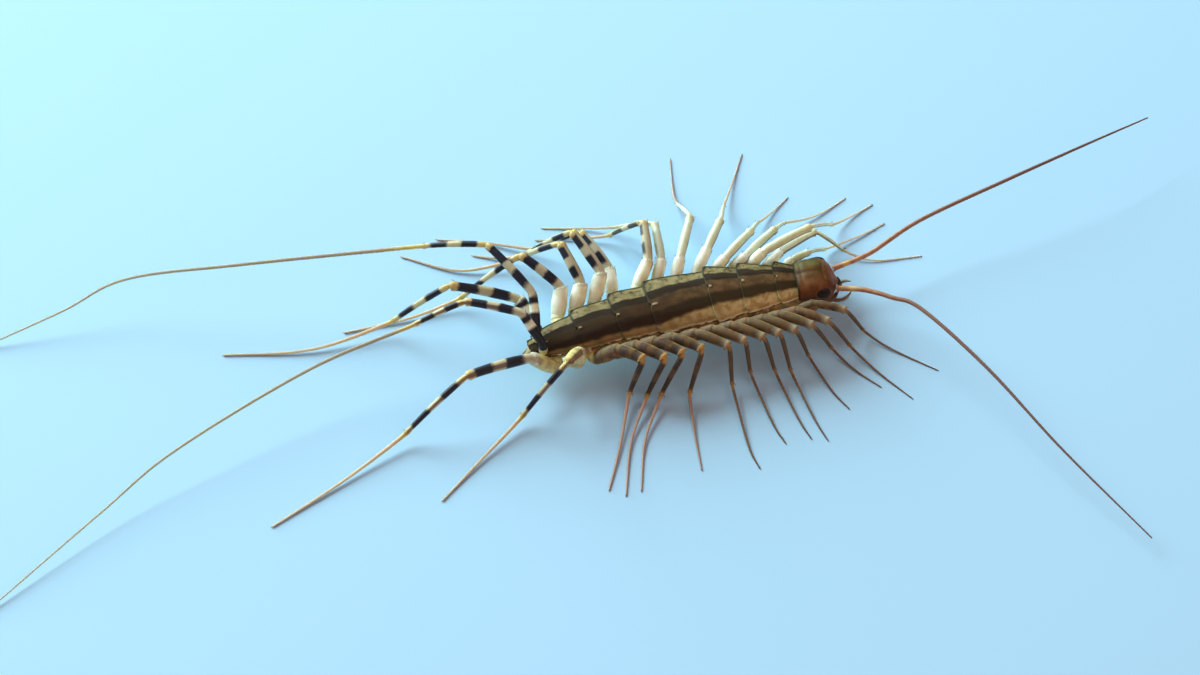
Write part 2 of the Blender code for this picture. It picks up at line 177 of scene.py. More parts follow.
# The second finish is a duller copy of the first, for the right (near) legs whose colour carries painted
# shade
LEG_FINISH = {"leg_chitin": (0.46, 0.3, 0.65), "shaded_leg_chitin": (0.62, 0.10, 0.15)}

# Thickness along each part of the leg, as a share of its full size, and how far a part bows up
COXA_SHAPE = ((0.0, 0.4), (0.08, 0.75), (0.2, 0.93), (0.6, 1.0), (0.9, 0.9), (1.0, 0.78))
THIGH_SHAPE = ((0.0, 0.82), (0.10, 0.86), (0.16, 0.80), (0.24, 0.90), (0.5, 1.0), (0.86, 0.90),
               (0.95, 0.90), (1.0, 0.80))
FEMUR_SHAPE = ((0.0, 0.88), (0.07, 0.92), (0.35, 1.0), (0.85, 0.86), (0.94, 0.98), (1.0, 0.76))
SHIN_SHAPE = ((0.0, 0.82), (0.06, 0.98), (0.4, 1.0), (0.88, 0.78), (0.96, 0.90), (1.0, 0.70))
LIMB_BOW = 0.03

# Posture of the legs. Each row gives heading and reach of the prefemur, the femur, the tibia and
# each stretch of the foot, then the heights of the prefemur's end, the knee and the ankle.
LEG_POSTURE = {
    "left": (
        ((45, 1.1), (21, 1.6), (42, 2.4), ((15, 3.5), (20, 2.3)), (2.8, 2.6, 0.45)),
        ((46, 2.5), (27, 3.9), (-38, 2.5), ((-29, 2.5), (-7, 3.9)), (2.5, 1.9, 0.6)),
        ((32, 1.8), (13, 4.4), (46, 3.7), ((25, 2.1), (23, 2.1)), (3.8, 4.5, 0.7)),
        ((38, 2.0), (35, 3.8), (58, 2.6), ((10, 2.9), (24, 3.0)), (3.1, 3.0, 0.7)),
        ((43, 1.9), (39, 3.6), (66, 2.7), ((37, 2.0), (37, 2.1)), (3.2, 3.1, 0.7)),
        ((57, 3.0), (56, 3.2), (71, 3.4), ((61, 3.1), (61, 3.1)), (3.3, 3.2, 0.7)),
        ((69, 2.4), (64, 4.3), (93, 3.5), ((87, 1.7), (79, 3.6)), (3.2, 3.3, 0.7)),
        ((69, 2.7), (84, 3.8), (137, 3.4), ((160, 3.0), (164, 3.2)), (3.2, 3.2, 0.7)),
        ((59, 3.1), (82, 3.5), (140, 3.1), ((164, 2.9), (167, 3.1)), (3.5, 4.2, 0.7)),
        ((84, 3.4), (114, 3.8), (153, 3.9), ((151, 3.9), (159, 4.2)), (2.9, 3.9, 0.6)),
        ((67, 2.9), (112, 4.0), (154, 3.8), ((155, 2.2), (155, 2.3)), (3.9, 5.2, 1.4)),
        ((69, 2.7), (105, 3.5), (147, 4.4), ((171, 4.3), (147, 4.8)), (3.6, 5.0, 0.8)),
        ((75, 3.1), (134, 3.9), (178, 5.1), ((186, 4.6), (180, 5.2)), (3.6, 5.2, 0.8)),
        ((107, 3.5), (164, 5.6), (174, 4.8), ((184, 6.9), (169, 7.1)), (3.4, 5.0, 1.1)),
        ((84, 2.4), (120, 5.3), (159, 5.3), ((168, 14.7), (167, 9.4), (187, 5.6), (187, 7.5)),
         (6.0, 7.5, 6.5)),
    ),
    "right": (
        ((41, 1.9), (30, 2.7), (21, 1.4), ((48, 2.7), (44, 4.3)), (3.1, 3.1, 0.7)),
        ((48, 2.2), (40, 2.9), (28, 1.7), ((60, 3.4), (58, 3.6)), (3.2, 3.3, 0.7)),
        ((48, 2.2), (40, 2.9), (23, 1.5), ((59, 2.7), (53, 2.6)), (3.2, 3.3, 0.7)),
        ((48, 2.2), (42, 2.9), (43, 1.1), ((74, 3.6), (67, 2.3)), (3.2, 3.3, 0.7)),
        ((48, 2.2), (42, 2.9), (78, 1.8), ((82, 4.8), (78, 2.5)), (3.3, 3.4, 0.7)),
        ((48, 2.2), (42, 2.9), (71, 1.5), ((82, 4.8), (77, 2.3)), (3.3, 3.4, 0.7)),
        ((48, 2.2), (42, 2.9), (86, 1.1), ((84, 5.1), (77, 2.2)), (3.3, 3.4, 0.7)),
        ((48, 2.3), (42, 3.0), (98, 1.8), ((92, 5.9), (83, 2.4)), (3.4, 3.5, 0.7)),
        ((51, 2.1), (44, 2.7), (130, 2.6), ((98, 3.4), (96, 3.9)), (3.4, 3.6, 0.7)),
        ((45, 2.4), (46, 2.6), (147, 2.8), ((121, 4.5), (108, 4.8)), (3.5, 3.7, 0.7)),
        ((45, 2.5), (47, 2.7), (150, 2.2), ((121, 4.4), (109, 5.3)), (3.6, 3.8, 0.7)),
        ((43, 2.4), (46, 2.4), (153, 1.6), ((113, 5.1), (116, 4.3)), (3.6, 3.9, 0.7)),
        ((90, 1.3), (129, 2.1), (163, 4.4), ((144, 5.2), (142, 4.9)), (3.9, 5.0, 0.7)),
        ((160, 2.1), (169, 5.8), (162, 5.9), ((154, 6.7), (156, 6.9)), (3.7, 4.5, 0.9)),
        ((233, 2.2), (205, 4.7), (179, 4.2), ((171, 9.2), (160, 13.0), (152, 8.0), (149, 14.0)),
         (6.0, 6.4, 4.8)),
    ),
}

# Palps and poison claws under the head: (x, distance to the side, height, radius). Each begins
# inside the body, some way back and up from its first place, at a share of that distance.
PALP_ROUTE = ((12.0, 0.5, 0.86, 0.19), (12.4, 0.65, 0.72, 0.19), (13.0, 0.85, 0.9, 0.16),
              (13.5, 0.8, 1.25, 0.12), (13.9, 0.45, 1.55, 0.05))
CLAW_ROUTE = ((8.7, 0.85, 0.95, 0.30), (9.3, 1.35, 0.66, 0.36), (10.2, 1.5, 0.65, 0.30),
              (10.9, 1.1, 0.70, 0.20), (11.2, 0.45, 0.75, 0.05))
MOUTH_SINK = (0.35, 0.75, 0.75)

# Seeds of what is random, then the lengths of the hairs, in metres, and the steps of the limb that
# carry them. Down has hairs a square metre and their length. Bristles have a thickness and a bend,
# as shares of their length.
SEEDS = {"feelers": 5, "mouthparts": 11, "legs": 23, "down": 3}
FEELER_HAIR = (0.00008, 0.00015)
FEELER_HAIRS_FROM = 24
MOUTH_HAIR = (0.00012, 0.00026)
MOUTH_HAIRS_SPAN = (8, 56)
CLAW_LENGTH = 0.00024
CLAW_SINK = 0.04
CLAW_DROOP = Vector((0, 0, -0.15))
DOWN = {"plate_hairs": (1.1e7, 0.00011), "head_hairs": (1.6e7, 0.00013), "flank_hairs": (0.6e7, 0.00014)}
BRISTLES = {"feeler_hairs": (0.06, 0.1), "mouth_hairs": (0.07, 0.12), "leg_spines": (0.11, 0.05),
            "leg_spurs": (0.085, 0.14), "foot_claws": (0.20, 0.25)}

# Belly plates, other thin plates with their thickness in metres, and how fine the meshes are
BELLY_THICKNESS = 0.00008
BELLY_LENGTH = 1.1
BELLY_WIDTH_SHARE = 0.50
LIP_THICKNESS = 0.00010
PLATE_ROUNDING = 0.3
FEELER_GROOVE = 0.14
FEELER_STEP_SHARE = 0.7
BODY_RINGS, CAP_RINGS, BODY_SIDES = 160, 20, 48
HEAD_LEVELS, HEAD_SIDES = 64, 72
PLATE_GRID, BELLY_GRID, LIP_GRID = (30, 64), (10, 14), (14, 20)
LIMB_SIDES, MOUTH_SIDES = 14, 16
EYE_LEVELS, EYE_SIDES = 24, 40
JAW_STEPS, MOUTH_STEPS = 18, 60

# Finishes of the small pieces: two close colours and a roughness
SMALL_FINISHES = {
    "jaw_chitin": ((0.15, 0.055, 0.02), (0.08, 0.03, 0.012), 0.4),
    "eye_lens": ((0.010, 0.007, 0.006), (0.022, 0.012, 0.008), 0.16),
    "feeler_hair": ((0.30, 0.15, 0.06), (0.20, 0.09, 0.04), 0.5),
    "mouth_hair": ((0.22, 0.12, 0.05), (0.12, 0.06, 0.03), 0.5),
    "bristle_brown": ((0.09, 0.045, 0.02), (0.16, 0.08, 0.035), 0.4),
    "claw_horn": ((0.05, 0.02, 0.01), (0.10, 0.045, 0.02), 0.3),
    "down_brown": ((0.14, 0.08, 0.035), (0.22, 0.13, 0.05), 0.5),
}

# Floor and lights, in metres, and camera: the photograph's view, 52 degrees above the floor
FLOOR_HALF = 1.5
KEY_PLACE, KEY_SIZE, KEY_COLOUR = (-0.247, 0.479, 0.262), 0.44, (0.78, 1.0, 0.95)
FILL_PLACE, FILL_SIZE, FILL_COLOUR = (0.20, -0.42, 0.40), 0.5, (1.0, 0.60, 0.45)
SKY_COLOUR = (1.0, 0.62, 0.49, 1.0)
SENSOR_WIDTH = 36.0
CAMERA_AIM = (3.46, 7.50)
CAMERA_ELEVATION = 52.0
CAMERA_TURN = 14.5
CAMERA_DISTANCE = 800.0
CAMERA_LENS = 295.2


def colour_setting(name, description, default):
    """A colour that a user may change."""
    return FloatVectorProperty(name=name, description=description, default=default, subtype="COLOR")


def length_setting(name, description, default):
    """A length in metres that a user may change."""
    return FloatProperty(name=name, description=description, default=default, unit="LENGTH")


class PlateSettings(bpy.types.PropertyGroup):
    """Sizes and colours of the back plates and the skin under them."""
    thickness: length_setting("Plate thickness", "Thickness of a back plate", 0.00013)
    overlap: length_setting("Plate overlap", "How far a plate covers the next one", 0.00040)
    stripe: colour_setting("Stripe", "Colour of the two dark stripes", (0.014, 0.010, 0.006))
    middle: colour_setting("Middle", "Colour along the middle of the back", (0.044, 0.027, 0.013))
    margin: colour_setting("Margin", "Colour of the pale side margins", (0.27, 0.225, 0.11))
    flank: colour_setting("Flank", "Colour of the skin along the flanks", (0.36, 0.19, 0.085))


class LegSettings(bpy.types.PropertyGroup):
    """Sizes and colours of the legs and their bristles."""
    groove: FloatProperty(name="Ring groove", description="How deep the grooves between foot rings cut",
                          default=0.16, min=0.0, max=0.5)
    spine: length_setting("Spine length", "Length of the small spines on the leg's ridges", 0.00013)
    spur: length_setting("Spur length", "Length of the spurs round a joint", 0.00034)
    pale: colour_setting("Pale legs", "Colour of the front legs", (0.58, 0.62, 0.54))
    thigh: colour_setting("Thighs", "Colour of the broad upper parts on the left", (0.86, 0.90, 0.82))
    straw: colour_setting("Straw legs", "Ground colour of the rear legs", (0.47, 0.44, 0.35))
    band: colour_setting("Bands", "Colour of the dark bands", (0.012, 0.014, 0.032))
    knee: colour_setting("Knees", "Colour of the joints", (0.50, 0.37, 0.16))
    foot: colour_setting("Feet", "Colour of the feet", (0.58, 0.37, 0.31))


class HeadSettings(bpy.types.PropertyGroup):
    """Sizes and colours of the head, eyes, feelers and mouthparts."""
    facet: length_setting("Facet size", "Radius of one facet of the eye", 0.00006)
    facets: IntProperty(name="Facets", description="Number of facets in each eye",
                        default=240, min=20, max=600)
    olive: colour_setting("Crown", "Colour of the top of the head", (0.125, 0.105, 0.030))
    rust: colour_setting("Face", "Colour of the front of the head", (0.36, 0.15, 0.072))
    feeler: colour_setting("Feelers", "Colour of the feelers", (0.56, 0.31, 0.18))


class StageSettings(bpy.types.PropertyGroup):
    """Floor and light."""
    floor: colour_setting("Floor", "Colour of the floor", (0.39, 0.65, 0.93))
    key: FloatProperty(name="Key light", description="Power of the main light in watts", default=9.3)
    fill: FloatProperty(name="Fill light", description="Power of the fill light in watts", default=1.1)
    sky: FloatProperty(name="Sky", description="Strength of the light from all round", default=0.25)


def follow(profile, x):
    """Read a profile of (x, value) pairs at x, with straight runs between them."""
    if x <= profile[0][0]:
        return profile[0][1]
    for (x0, v0), (x1, v1) in zip(profile, profile[1:]):
        if x <= x1:
            return v0 + (v1 - v0) * (x - x0) / (x1 - x0)
    return profile[-1][1]


def glide(profile, x):
    """Read a profile at x with its corners rounded off."""
    reach = 0.4
    return (follow(profile, x - reach) + follow(profile, x) * 2 + follow(profile, x + reach)) / 4


def ease(low, high, value):
    """Rise smoothly from 0 at low to 1 at high."""
    share = min(max((value - low) / (high - low), 0.0), 1.0)
    return share * share * (3 - 2 * share)


def hump(value, width):
    """A smooth bump, 1 at zero."""
    return math.exp(-(value / width) ** 2)


def body_point(x, side, height):
    """A point at station x of the bent body line, some way to the left of it."""
    turn = -math.atan((x - BEND_CENTRE_X) / BEND_RADIUS)
    line_y = BEND_CENTRE_Y - (x - BEND_CENTRE_X) ** 2 / (2 * BEND_RADIUS)
    return Vector((x - side * math.sin(turn), line_y + side * math.cos(turn), height))


def step(point, heading, reach, sign, height):
    """The point that lies a reach away from another along a heading, at its own height."""
    angle = math.radians(heading)
    return Vector((point.x + reach * math.cos(angle), point.y + sign * reach * math.sin(angle), height))


def spline(p0, p1, p2, p3, t):
    """The point at a share from p1 to p2 of the smooth curve through four points."""
    return (p1 * 2 + (p2 - p0) * t + (p0 * 2 - p1 * 5 + p2 * 4 - p3) * t ** 2
            + (p1 * 3 - p0 - p2 * 3 + p3) * t ** 3) / 2


def smooth_route(points, share):
    """The point at a share from 0 to 1 of a smooth curve through the given points."""
    spans = len(points) - 1
    reach = min(share * spans, spans - 1e-9)
    index = int(reach)
    p1, p2 = points[index], points[index + 1]
    p0 = points[index - 1] if index > 0 else p1 * 2 - p2
    p3 = points[index + 2] if index + 2 <= spans else p2 * 2 - p1
    return spline(p0, p1, p2, p3, reach - index)


def metres(point):
    """A point of the animal, moved to where it stands and turned into metres."""
    return Vector((point.x + STAND_AT[0], point.y + STAND_AT[1], point.z)) * MM


# Node trees

class Value:
    """An output in a node tree, which can stand in plain sums."""

    def __init__(self, tree, socket):
        self.tree = tree
        self.socket = socket

    def maths(self, operation, *others):
        return maths(self.tree, operation, self, *others)

    def __add__(self, other):
        return self.maths("ADD", other)

    def __sub__(self, other):
        return self.maths("SUBTRACT", other)

    def __rsub__(self, other):
        return maths(self.tree, "SUBTRACT", other, self)

    def __mul__(self, other):
        return self.maths("MULTIPLY", other)

    def __truediv__(self, other):
        return self.maths("DIVIDE", other)

    def __abs__(self):
        return self.maths("ABSOLUTE")

    def most(self, other):
        """The larger of two values."""
        return self.maths("MAXIMUM", other)

    def rise(self, low, high):
        """Rise smoothly from 0 at low to 1 at high, or fall where low is the larger."""
        return read(self.tree, "ShaderNodeMapRange", "Result",
                    {"Value": self, "From Min": low, "From Max": high}, interpolation_type="SMOOTHSTEP")

    def band(self, centre, half_width, softness):
        """1 within a half width of the centre and 0 outside it."""
        return read(self.tree, "ShaderNodeGroup", "Mask",
                    {"Value": self, "Centre": centre, "Half Width": half_width, "Softness": softness},
                    node_tree=shared_tree("soft_band", band_group))


def place(tree, kind, inputs=None, **settings):
    """Add a node. Each input is a plain value or a Value."""
    node = tree.nodes.new(kind)
    for name, item in settings.items():
        setattr(node, name, item)
    for name, item in (inputs or {}).items():
        if isinstance(item, Value):
            tree.links.new(item.socket, node.inputs[name])
        else:
            node.inputs[name].default_value = item
    return node


def read(tree, kind, output, inputs=None, **settings):
    """Add a node and give one of its outputs."""
    return Value(tree, place(tree, kind, inputs, **settings).outputs[output])


def maths(tree, operation, *values):
    """The result of a number sum."""
    return read(tree, "ShaderNodeMath", 0, dict(enumerate(values)), operation=operation)


def vectors(tree, operation, *values):
    """The result of a vector sum."""
    output = "Value" if operation == "DOT_PRODUCT" else "Vector"
    return read(tree, "ShaderNodeVectorMath", output, dict(enumerate(values)), operation=operation)


def scaled(vector, factor):
    """A vector times a number."""
    return read(vector.tree, "ShaderNodeVectorMath", "Vector", {"Vector": vector, "Scale": factor},
                operation="SCALE")


def given_values(tree):
    """What a tree is given, by name."""
    return {output.name: Value(tree, output) for output in tree.nodes.new("NodeGroupInput").outputs}


def geometry_tree(name, inputs):
    """A new geometry tree with a mesh in, a mesh out, its named inputs and its material."""
    tree = bpy.data.node_groups.new(name, "GeometryNodeTree")
    tree.interface.new_socket(name="Geometry", in_out="INPUT", socket_type="NodeSocketGeometry")
    for label, kind, default in inputs:
        socket = tree.interface.new_socket(name=label, in_out="INPUT", socket_type=f"NodeSocket{kind}")
        socket.default_value = default
    tree.interface.new_socket(name="Material", in_out="INPUT", socket_type="NodeSocketMaterial")
    tree.interface.new_socket(name="Geometry", in_out="OUTPUT", socket_type="NodeSocketGeometry")
    return tree, given_values(tree)


def close_tree(tree, geometry, material):
    """End a geometry tree with smooth shading, realized instances and its material."""
    smooth = read(tree, "GeometryNodeSetShadeSmooth", 0, {"Geometry": geometry})
    real = read(tree, "GeometryNodeRealizeInstances", "Geometry", {"Geometry": smooth})
    painted = read(tree, "GeometryNodeSetMaterial", "Geometry", {"Geometry": real, "Material": material})
    place(tree, "NodeGroupOutput", {"Geometry": painted})


def named(tree, name, kind="FLOAT"):
    """An attribute that the mesh carries."""
    return read(tree, "GeometryNodeInputNamedAttribute", "Attribute", {"Name": name}, data_type=kind)


def store(tree, geometry, name, value, kind="FLOAT"):
    """Write an attribute on the points."""
    return read(tree, "GeometryNodeStoreNamedAttribute", "Geometry",
                {"Geometry": geometry, "Name": name, "Value": value}, data_type=kind, domain="POINT")


def limb_tree():
    """Sweep an oval along a limb's centre line, with a groove between one ring and the next."""
    tree, given = geometry_tree("limb_sweep", (("Sides", "Int", 12), ("Groove", "Float", 0.0)))
    position = read(tree, "GeometryNodeInputPosition", "Position")
    tangent = read(tree, "GeometryNodeInputTangent", "Tangent")
    curve = read(tree, "GeometryNodeMeshToCurve", "Curve", {"Mesh": given["Geometry"]})
    curve = store(tree, curve, "limb_point", position, "FLOAT_VECTOR")
    curve = store(tree, curve, "limb_tangent", tangent, "FLOAT_VECTOR")
    profile = read(tree, "GeometryNodeCurvePrimitiveCircle", "Curve",
                   {"Resolution": given["Sides"], "Radius": MM})
    tube = read(tree, "GeometryNodeCurveToMesh", "Mesh",
                {"Curve": curve, "Profile Curve": profile, "Fill Caps": True})
    forward = named(tree, "limb_tangent", "FLOAT_VECTOR")
    upright = named(tree, "upright", "FLOAT_VECTOR")
    centre = named(tree, "limb_point", "FLOAT_VECTOR")
    across = vectors(tree, "NORMALIZE", vectors(tree, "CROSS_PRODUCT", forward, upright))
    upright = vectors(tree, "CROSS_PRODUCT", across, forward)
    offset = vectors(tree, "SUBTRACT", position, centre)
    sideways = vectors(tree, "DOT_PRODUCT", offset, across) / MM
    upward = vectors(tree, "DOT_PRODUCT", offset, upright) / MM
    from_edge = abs(named(tree, "turns").maths("FRACT") * 2.0 - 1.0)
    slim = 1.0 - from_edge.maths("POWER", 6.0) * given["Groove"] * named(tree, "grooved")
    moved = vectors(tree, "ADD", scaled(across, sideways * (named(tree, "half_width") * slim)),
                    scaled(upright, upward * (named(tree, "half_height") * slim)))
    mesh = store(tree, tube, "sideways", sideways)
    mesh = store(tree, mesh, "upward", upward)
    shaped = read(tree, "GeometryNodeSetPosition", "Geometry",
                  {"Geometry": mesh, "Position": vectors(tree, "ADD", centre, moved)})
    close_tree(tree, shaped, given["Material"])


def pointed_copies(tree, points, thing, lie, size):
    """A copy of a thing on each point, turned along a direction and scaled."""
    turn = read(tree, "FunctionNodeAlignRotationToVector", "Rotation", {"Vector": lie}, axis="Z")
    return read(tree, "GeometryNodeInstanceOnPoints", "Instances",
                {"Points": points, "Instance": thing, "Rotation": turn, "Scale": size})


def scatter_tree(name, shape):
    """Put a bristle or an eye facet on each point, along the point's own direction and size."""
    tree, given = geometry_tree(name, (("Thickness", "Float", 0.1), ("Bend", "Float", 0.0)))
    if shape == "bristle":
        cone = read(tree, "GeometryNodeMeshCone", "Mesh",
                    {"Vertices": 4, "Side Segments": 3, "Radius Top": 0.0,
                     "Radius Bottom": given["Thickness"], "Depth": 1.0})
        position = read(tree, "GeometryNodeInputPosition", "Position")
        height = read(tree, "ShaderNodeSeparateXYZ", "Z", {"Vector": position})
        bend = height.maths("POWER", 2.0) * given["Bend"]
        offset = read(tree, "ShaderNodeCombineXYZ", "Vector", {"X": bend})
        thing = read(tree, "GeometryNodeSetPosition", "Geometry", {"Geometry": cone, "Offset": offset})
    else:
        thing = read(tree, "GeometryNodeMeshIcoSphere", "Mesh", {"Radius": 1.0, "Subdivisions": 2})
    copies = pointed_copies(tree, given["Geometry"], thing, named(tree, "lie", "FLOAT_VECTOR"),
                            named(tree, "size"))
    close_tree(tree, copies, given["Material"])


def down_tree():
    """Sow fine hairs over a surface, leaning towards the tail."""
    tree, given = geometry_tree("fine_hairs", (("Density", "Float", 1.0e6), ("Length", "Float", 0.0001),
                                               ("Lean", "Vector", (-1.0, 0.0, 0.0)), ("Seed", "Int", 7)))
    sown = place(tree, "GeometryNodeDistributePointsOnFaces",
                 {"Mesh": given["Geometry"], "Density": given["Density"], "Seed": given["Seed"]}).outputs
    lie = vectors(tree, "ADD", Value(tree, sown["Normal"]), given["Lean"])
    share = read(tree, "FunctionNodeRandomValue", 1, {2: 0.5, 3: 1.0, "Seed": given["Seed"]})
    cone = read(tree, "GeometryNodeMeshCone", "Mesh",
                {"Vertices": 3, "Side Segments": 1, "Radius Top": 0.0, "Radius Bottom": 0.07, "Depth": 1.0})
    copies = pointed_copies(tree, Value(tree, sown["Points"]), cone, lie, share * given["Length"])
    close_tree(tree, copies, given["Material"])


def shared_tree(name, maker, *values):
    """A node tree that is built once and then used again."""
    if name not in bpy.data.node_groups:
        maker(*values)
    return bpy.data.node_groups[name]


# Materials

def shader_group(name, inputs, outputs):
    """A new shader group: its inputs with their defaults, and its outputs with their kinds."""
    group = bpy.data.node_groups.new(name, "ShaderNodeTree")
    for label, default in inputs.items():
        socket = group.interface.new_socket(name=label, in_out="INPUT", socket_type="NodeSocketFloat")
        socket.default_value = default
    for label, kind in outputs.items():
        group.interface.new_socket(name=label, in_out="OUTPUT", socket_type=f"NodeSocket{kind}")
    return group, given_values(group)


def surface_group():
    """Mottled, finely pitted chitin: a mottle mask, a roughness and a normal."""
    group, given = shader_group(
        "chitin_surface",
        {"Mottle Scale": 900.0, "Pit Scale": 9000.0, "Roughness": 0.4, "Relief": 0.00002},
        {"Mottle": "Float", "Fine": "Float", "Roughness": "Float", "Normal": "Vector"})
    spot = read(group, "ShaderNodeTexCoord", "Object")
    mottle = read(group, "ShaderNodeTexNoise", 0,
                  {"Vector": spot, "Scale": given["Mottle Scale"], "Detail": 5.0, "Roughness": 0.62})
    pits = read(group, "ShaderNodeTexVoronoi", "Distance", {"Vector": spot, "Scale": given["Pit Scale"]})
    fine = read(group, "ShaderNodeTexNoise", 0,
                {"Vector": spot, "Scale": given["Pit Scale"], "Detail": 3.0, "Roughness": 0.6})
    bump = read(group, "ShaderNodeBump", "Normal",
                {"Height": pits * 0.6 + fine * 0.8, "Distance": given["Relief"], "Strength": 0.8})
    place(group, "NodeGroupOutput", {"Mottle": mottle.rise(0.34, 0.66), "Fine": fine, "Normal": bump,
                                     "Roughness": given["Roughness"] + (fine - 0.5) * 0.35})


def band_group():
    """A soft-edged band: 1 within a half width of a centre, 0 outside it."""
    group, given = shader_group(
        "soft_band", {"Value": 0.0, "Centre": 0.0, "Half Width": 0.1, "Softness": 0.03}, {"Mask": "Float"})
    fade = read(group, "ShaderNodeMapRange", "Result",
                {"Value": abs(given["Value"] - given["Centre"]),
                 "From Min": given["Half Width"] - given["Softness"],
                 "From Max": given["Half Width"] + given["Softness"], "To Min": 1.0, "To Max": 0.0},
                interpolation_type="SMOOTHSTEP")
    place(group, "NodeGroupOutput", {"Mask": fade})


class Paint:
    """A Principled material and the short calls that build its colour."""

    def __init__(self, name, roughness, mottle_scale=900.0, pit_scale=9000.0, relief=0.00002):
        self.material = bpy.data.materials.new(name)
        self.material.use_nodes = True
        self.tree = self.material.node_tree
        self.shader = self.tree.nodes["Principled BSDF"]
        surface = place(self.tree, "ShaderNodeGroup",
                        {"Roughness": roughness, "Mottle Scale": mottle_scale,
                         "Pit Scale": pit_scale, "Relief": relief},
                        node_tree=shared_tree("chitin_surface", surface_group)).outputs
        self.mottle = Value(self.tree, surface["Mottle"])
        self.fine = Value(self.tree, surface["Fine"])
        for label in ("Roughness", "Normal"):
            self.tree.links.new(surface[label], self.shader.inputs[label])
        self.colour = None

    def attributes(self, *names):
        """The numbers that the piece carries under these names."""
        return [read(self.tree, "ShaderNodeAttribute", "Fac", attribute_name=name) for name in names]

    def spot(self):
        """Where a point lies in the object's own coordinates."""
        return read(self.tree, "ShaderNodeTexCoord", "Object")

    def noise(self, scale, detail=3.0):
        """Cloudy noise at a scale."""
        return read(self.tree, "ShaderNodeTexNoise", 0,
                    {"Vector": self.spot(), "Scale": scale, "Detail": detail})

    def forward(self, low, high):
        """Rise from 0 to 1 between two stations of the body, given in millimetres."""
        x = read(self.tree, "ShaderNodeSeparateXYZ", "X", {"Vector": self.spot()})
        return x.rise((low + STAND_AT[0]) * MM, (high + STAND_AT[0]) * MM)

    def mix(self, share, below, above):
        """One colour going over into another."""
        pair = [item if isinstance(item, Value) else (*item, 1.0) for item in (below, above)]
        return read(self.tree, "ShaderNodeMix", 2, {0: share, 6: pair[0], 7: pair[1]}, data_type="RGBA")

    def mottled(self, colour, other):
        """Two colours in the surface's own mottles."""
        return self.mix(self.mottle, colour, other)

    def lay(self, share, above):
        """Lay a colour over what is there."""
        self.colour = self.mix(share, self.colour, above)

    def finish(self, shine=0.45, coat=0.0, depth=0.0):
        """Lead the colour to the shader and set the rest of the finish."""
        self.tree.links.new(self.colour.socket, self.shader.inputs["Base Color"])
        for label, value in (("Specular IOR Level", shine), ("Coat Weight", coat), ("Coat Roughness", 0.22),
                             ("Subsurface Weight", depth), ("Subsurface Scale", 0.0014),
                             ("Subsurface Radius", (1.0, 0.85, 0.5))):
            self.shader.inputs[label].default_value = value
        return self.material


def plates_material(looks):
    """Back plates: dark stripes either side of an olive-brown middle, pale margins, a dark edge, and a
    patchy pale painted highlight along the right edge.
    """
    paint = Paint("plates", 0.60, mottle_scale=1300.0, relief=0.000016)
    mix, noise = paint.mix, paint.noise
    across, along, from_middle = paint.attributes("plate_across", "plate_along", "stripe_place")
    ahead = paint.forward(-9.0, 8.0)
    stripe_place = from_middle + (noise(800.0, 4.0) - 0.48) * 0.24
    far_margin = paint.mottled(looks.margin, (0.14, 0.112, 0.045))
    far_margin = mix(noise(2600.0, 4.0).rise(0.55, 0.70), far_margin, (0.055, 0.042, 0.020))
    rusty = mix(paint.fine, (0.16, 0.055, 0.024), (0.30, 0.20, 0.065))
    near_margin = paint.mottled((0.18, 0.115, 0.055), (0.135, 0.10, 0.035))
    near_margin = mix(noise(1500.0, 4.0).rise(0.48, 0.62), near_margin, rusty)
    sandy = mix(noise(1900.0, 3.0).rise(0.40, 0.62), (0.60, 0.50, 0.25), (0.38, 0.27, 0.11))
    near_margin = mix(ahead * 0.9, near_margin, sandy)
    paint.colour = mix(ahead, looks.middle, (0.155, 0.088, 0.036))
    paint.lay(paint.mottle * 0.7, (0.040, 0.024, 0.011))
    paint.lay(stripe_place.rise(0.44, 0.52), far_margin)
    paint.lay(stripe_place.rise(-0.54, -0.70), near_margin)
    paint.lay(stripe_place.band(0.36, 0.15, 0.035), mix(paint.fine, looks.stripe, (0.036, 0.020, 0.010)))
    paint.lay(stripe_place.band(-0.43, 0.20, 0.08), mix(ahead, (0.020, 0.010, 0.006), (0.038, 0.024, 0.008)))
    rear_edge = along.band(0.985, 0.03, 0.02) * (across.rise(0.2, 0.5) * 0.7 + 0.15)
    paint.lay(rear_edge, (0.020, 0.014, 0.008))
    rim = across.rise(0.92, 0.965).most(across.rise(0.66, 0.88) * along.rise(0.84, 0.95))
    paint.lay(rim * 0.9, (0.016, 0.013, 0.008))
    # Along the right (near) edge: a dark rim in patches, the rest a pale painted highlight
    near_rim_and_highlight = mix(noise(1900.0, 2.0).rise(0.46, 0.58), (0.09, 0.05, 0.025), (0.46, 0.38, 0.27))
    paint.lay(across.rise(-0.93, -0.98), near_rim_and_highlight)
    slit = from_middle.band(0.0, 0.030, 0.02) * along.band(0.93, 0.05, 0.03)
    paint.lay(slit, (0.42, 0.37, 0.26))
    return paint.finish(shine=0.16)


def skin_material(looks):
    """Flanks and belly: orange-brown and olive mottling, with pale folds."""
    paint = Paint("flank_skin", 0.5, mottle_scale=1500.0, pit_scale=7000.0, relief=0.00003)
    belly, = paint.attributes("belly")
    paint.colour = paint.mix(paint.noise(1100.0, 4.0).rise(0.40, 0.60), looks.flank, (0.38, 0.32, 0.13))
    paint.lay(paint.noise(2100.0, 2.0).rise(0.56, 0.70) * 0.8, (0.075, 0.035, 0.020))
    paint.lay(paint.noise(1700.0, 2.0).rise(0.62, 0.72) * 0.7, (0.70, 0.62, 0.48))
    paint.lay(belly.rise(0.35, 0.8), (0.46, 0.39, 0.22))
    return paint.finish(shine=0.4)


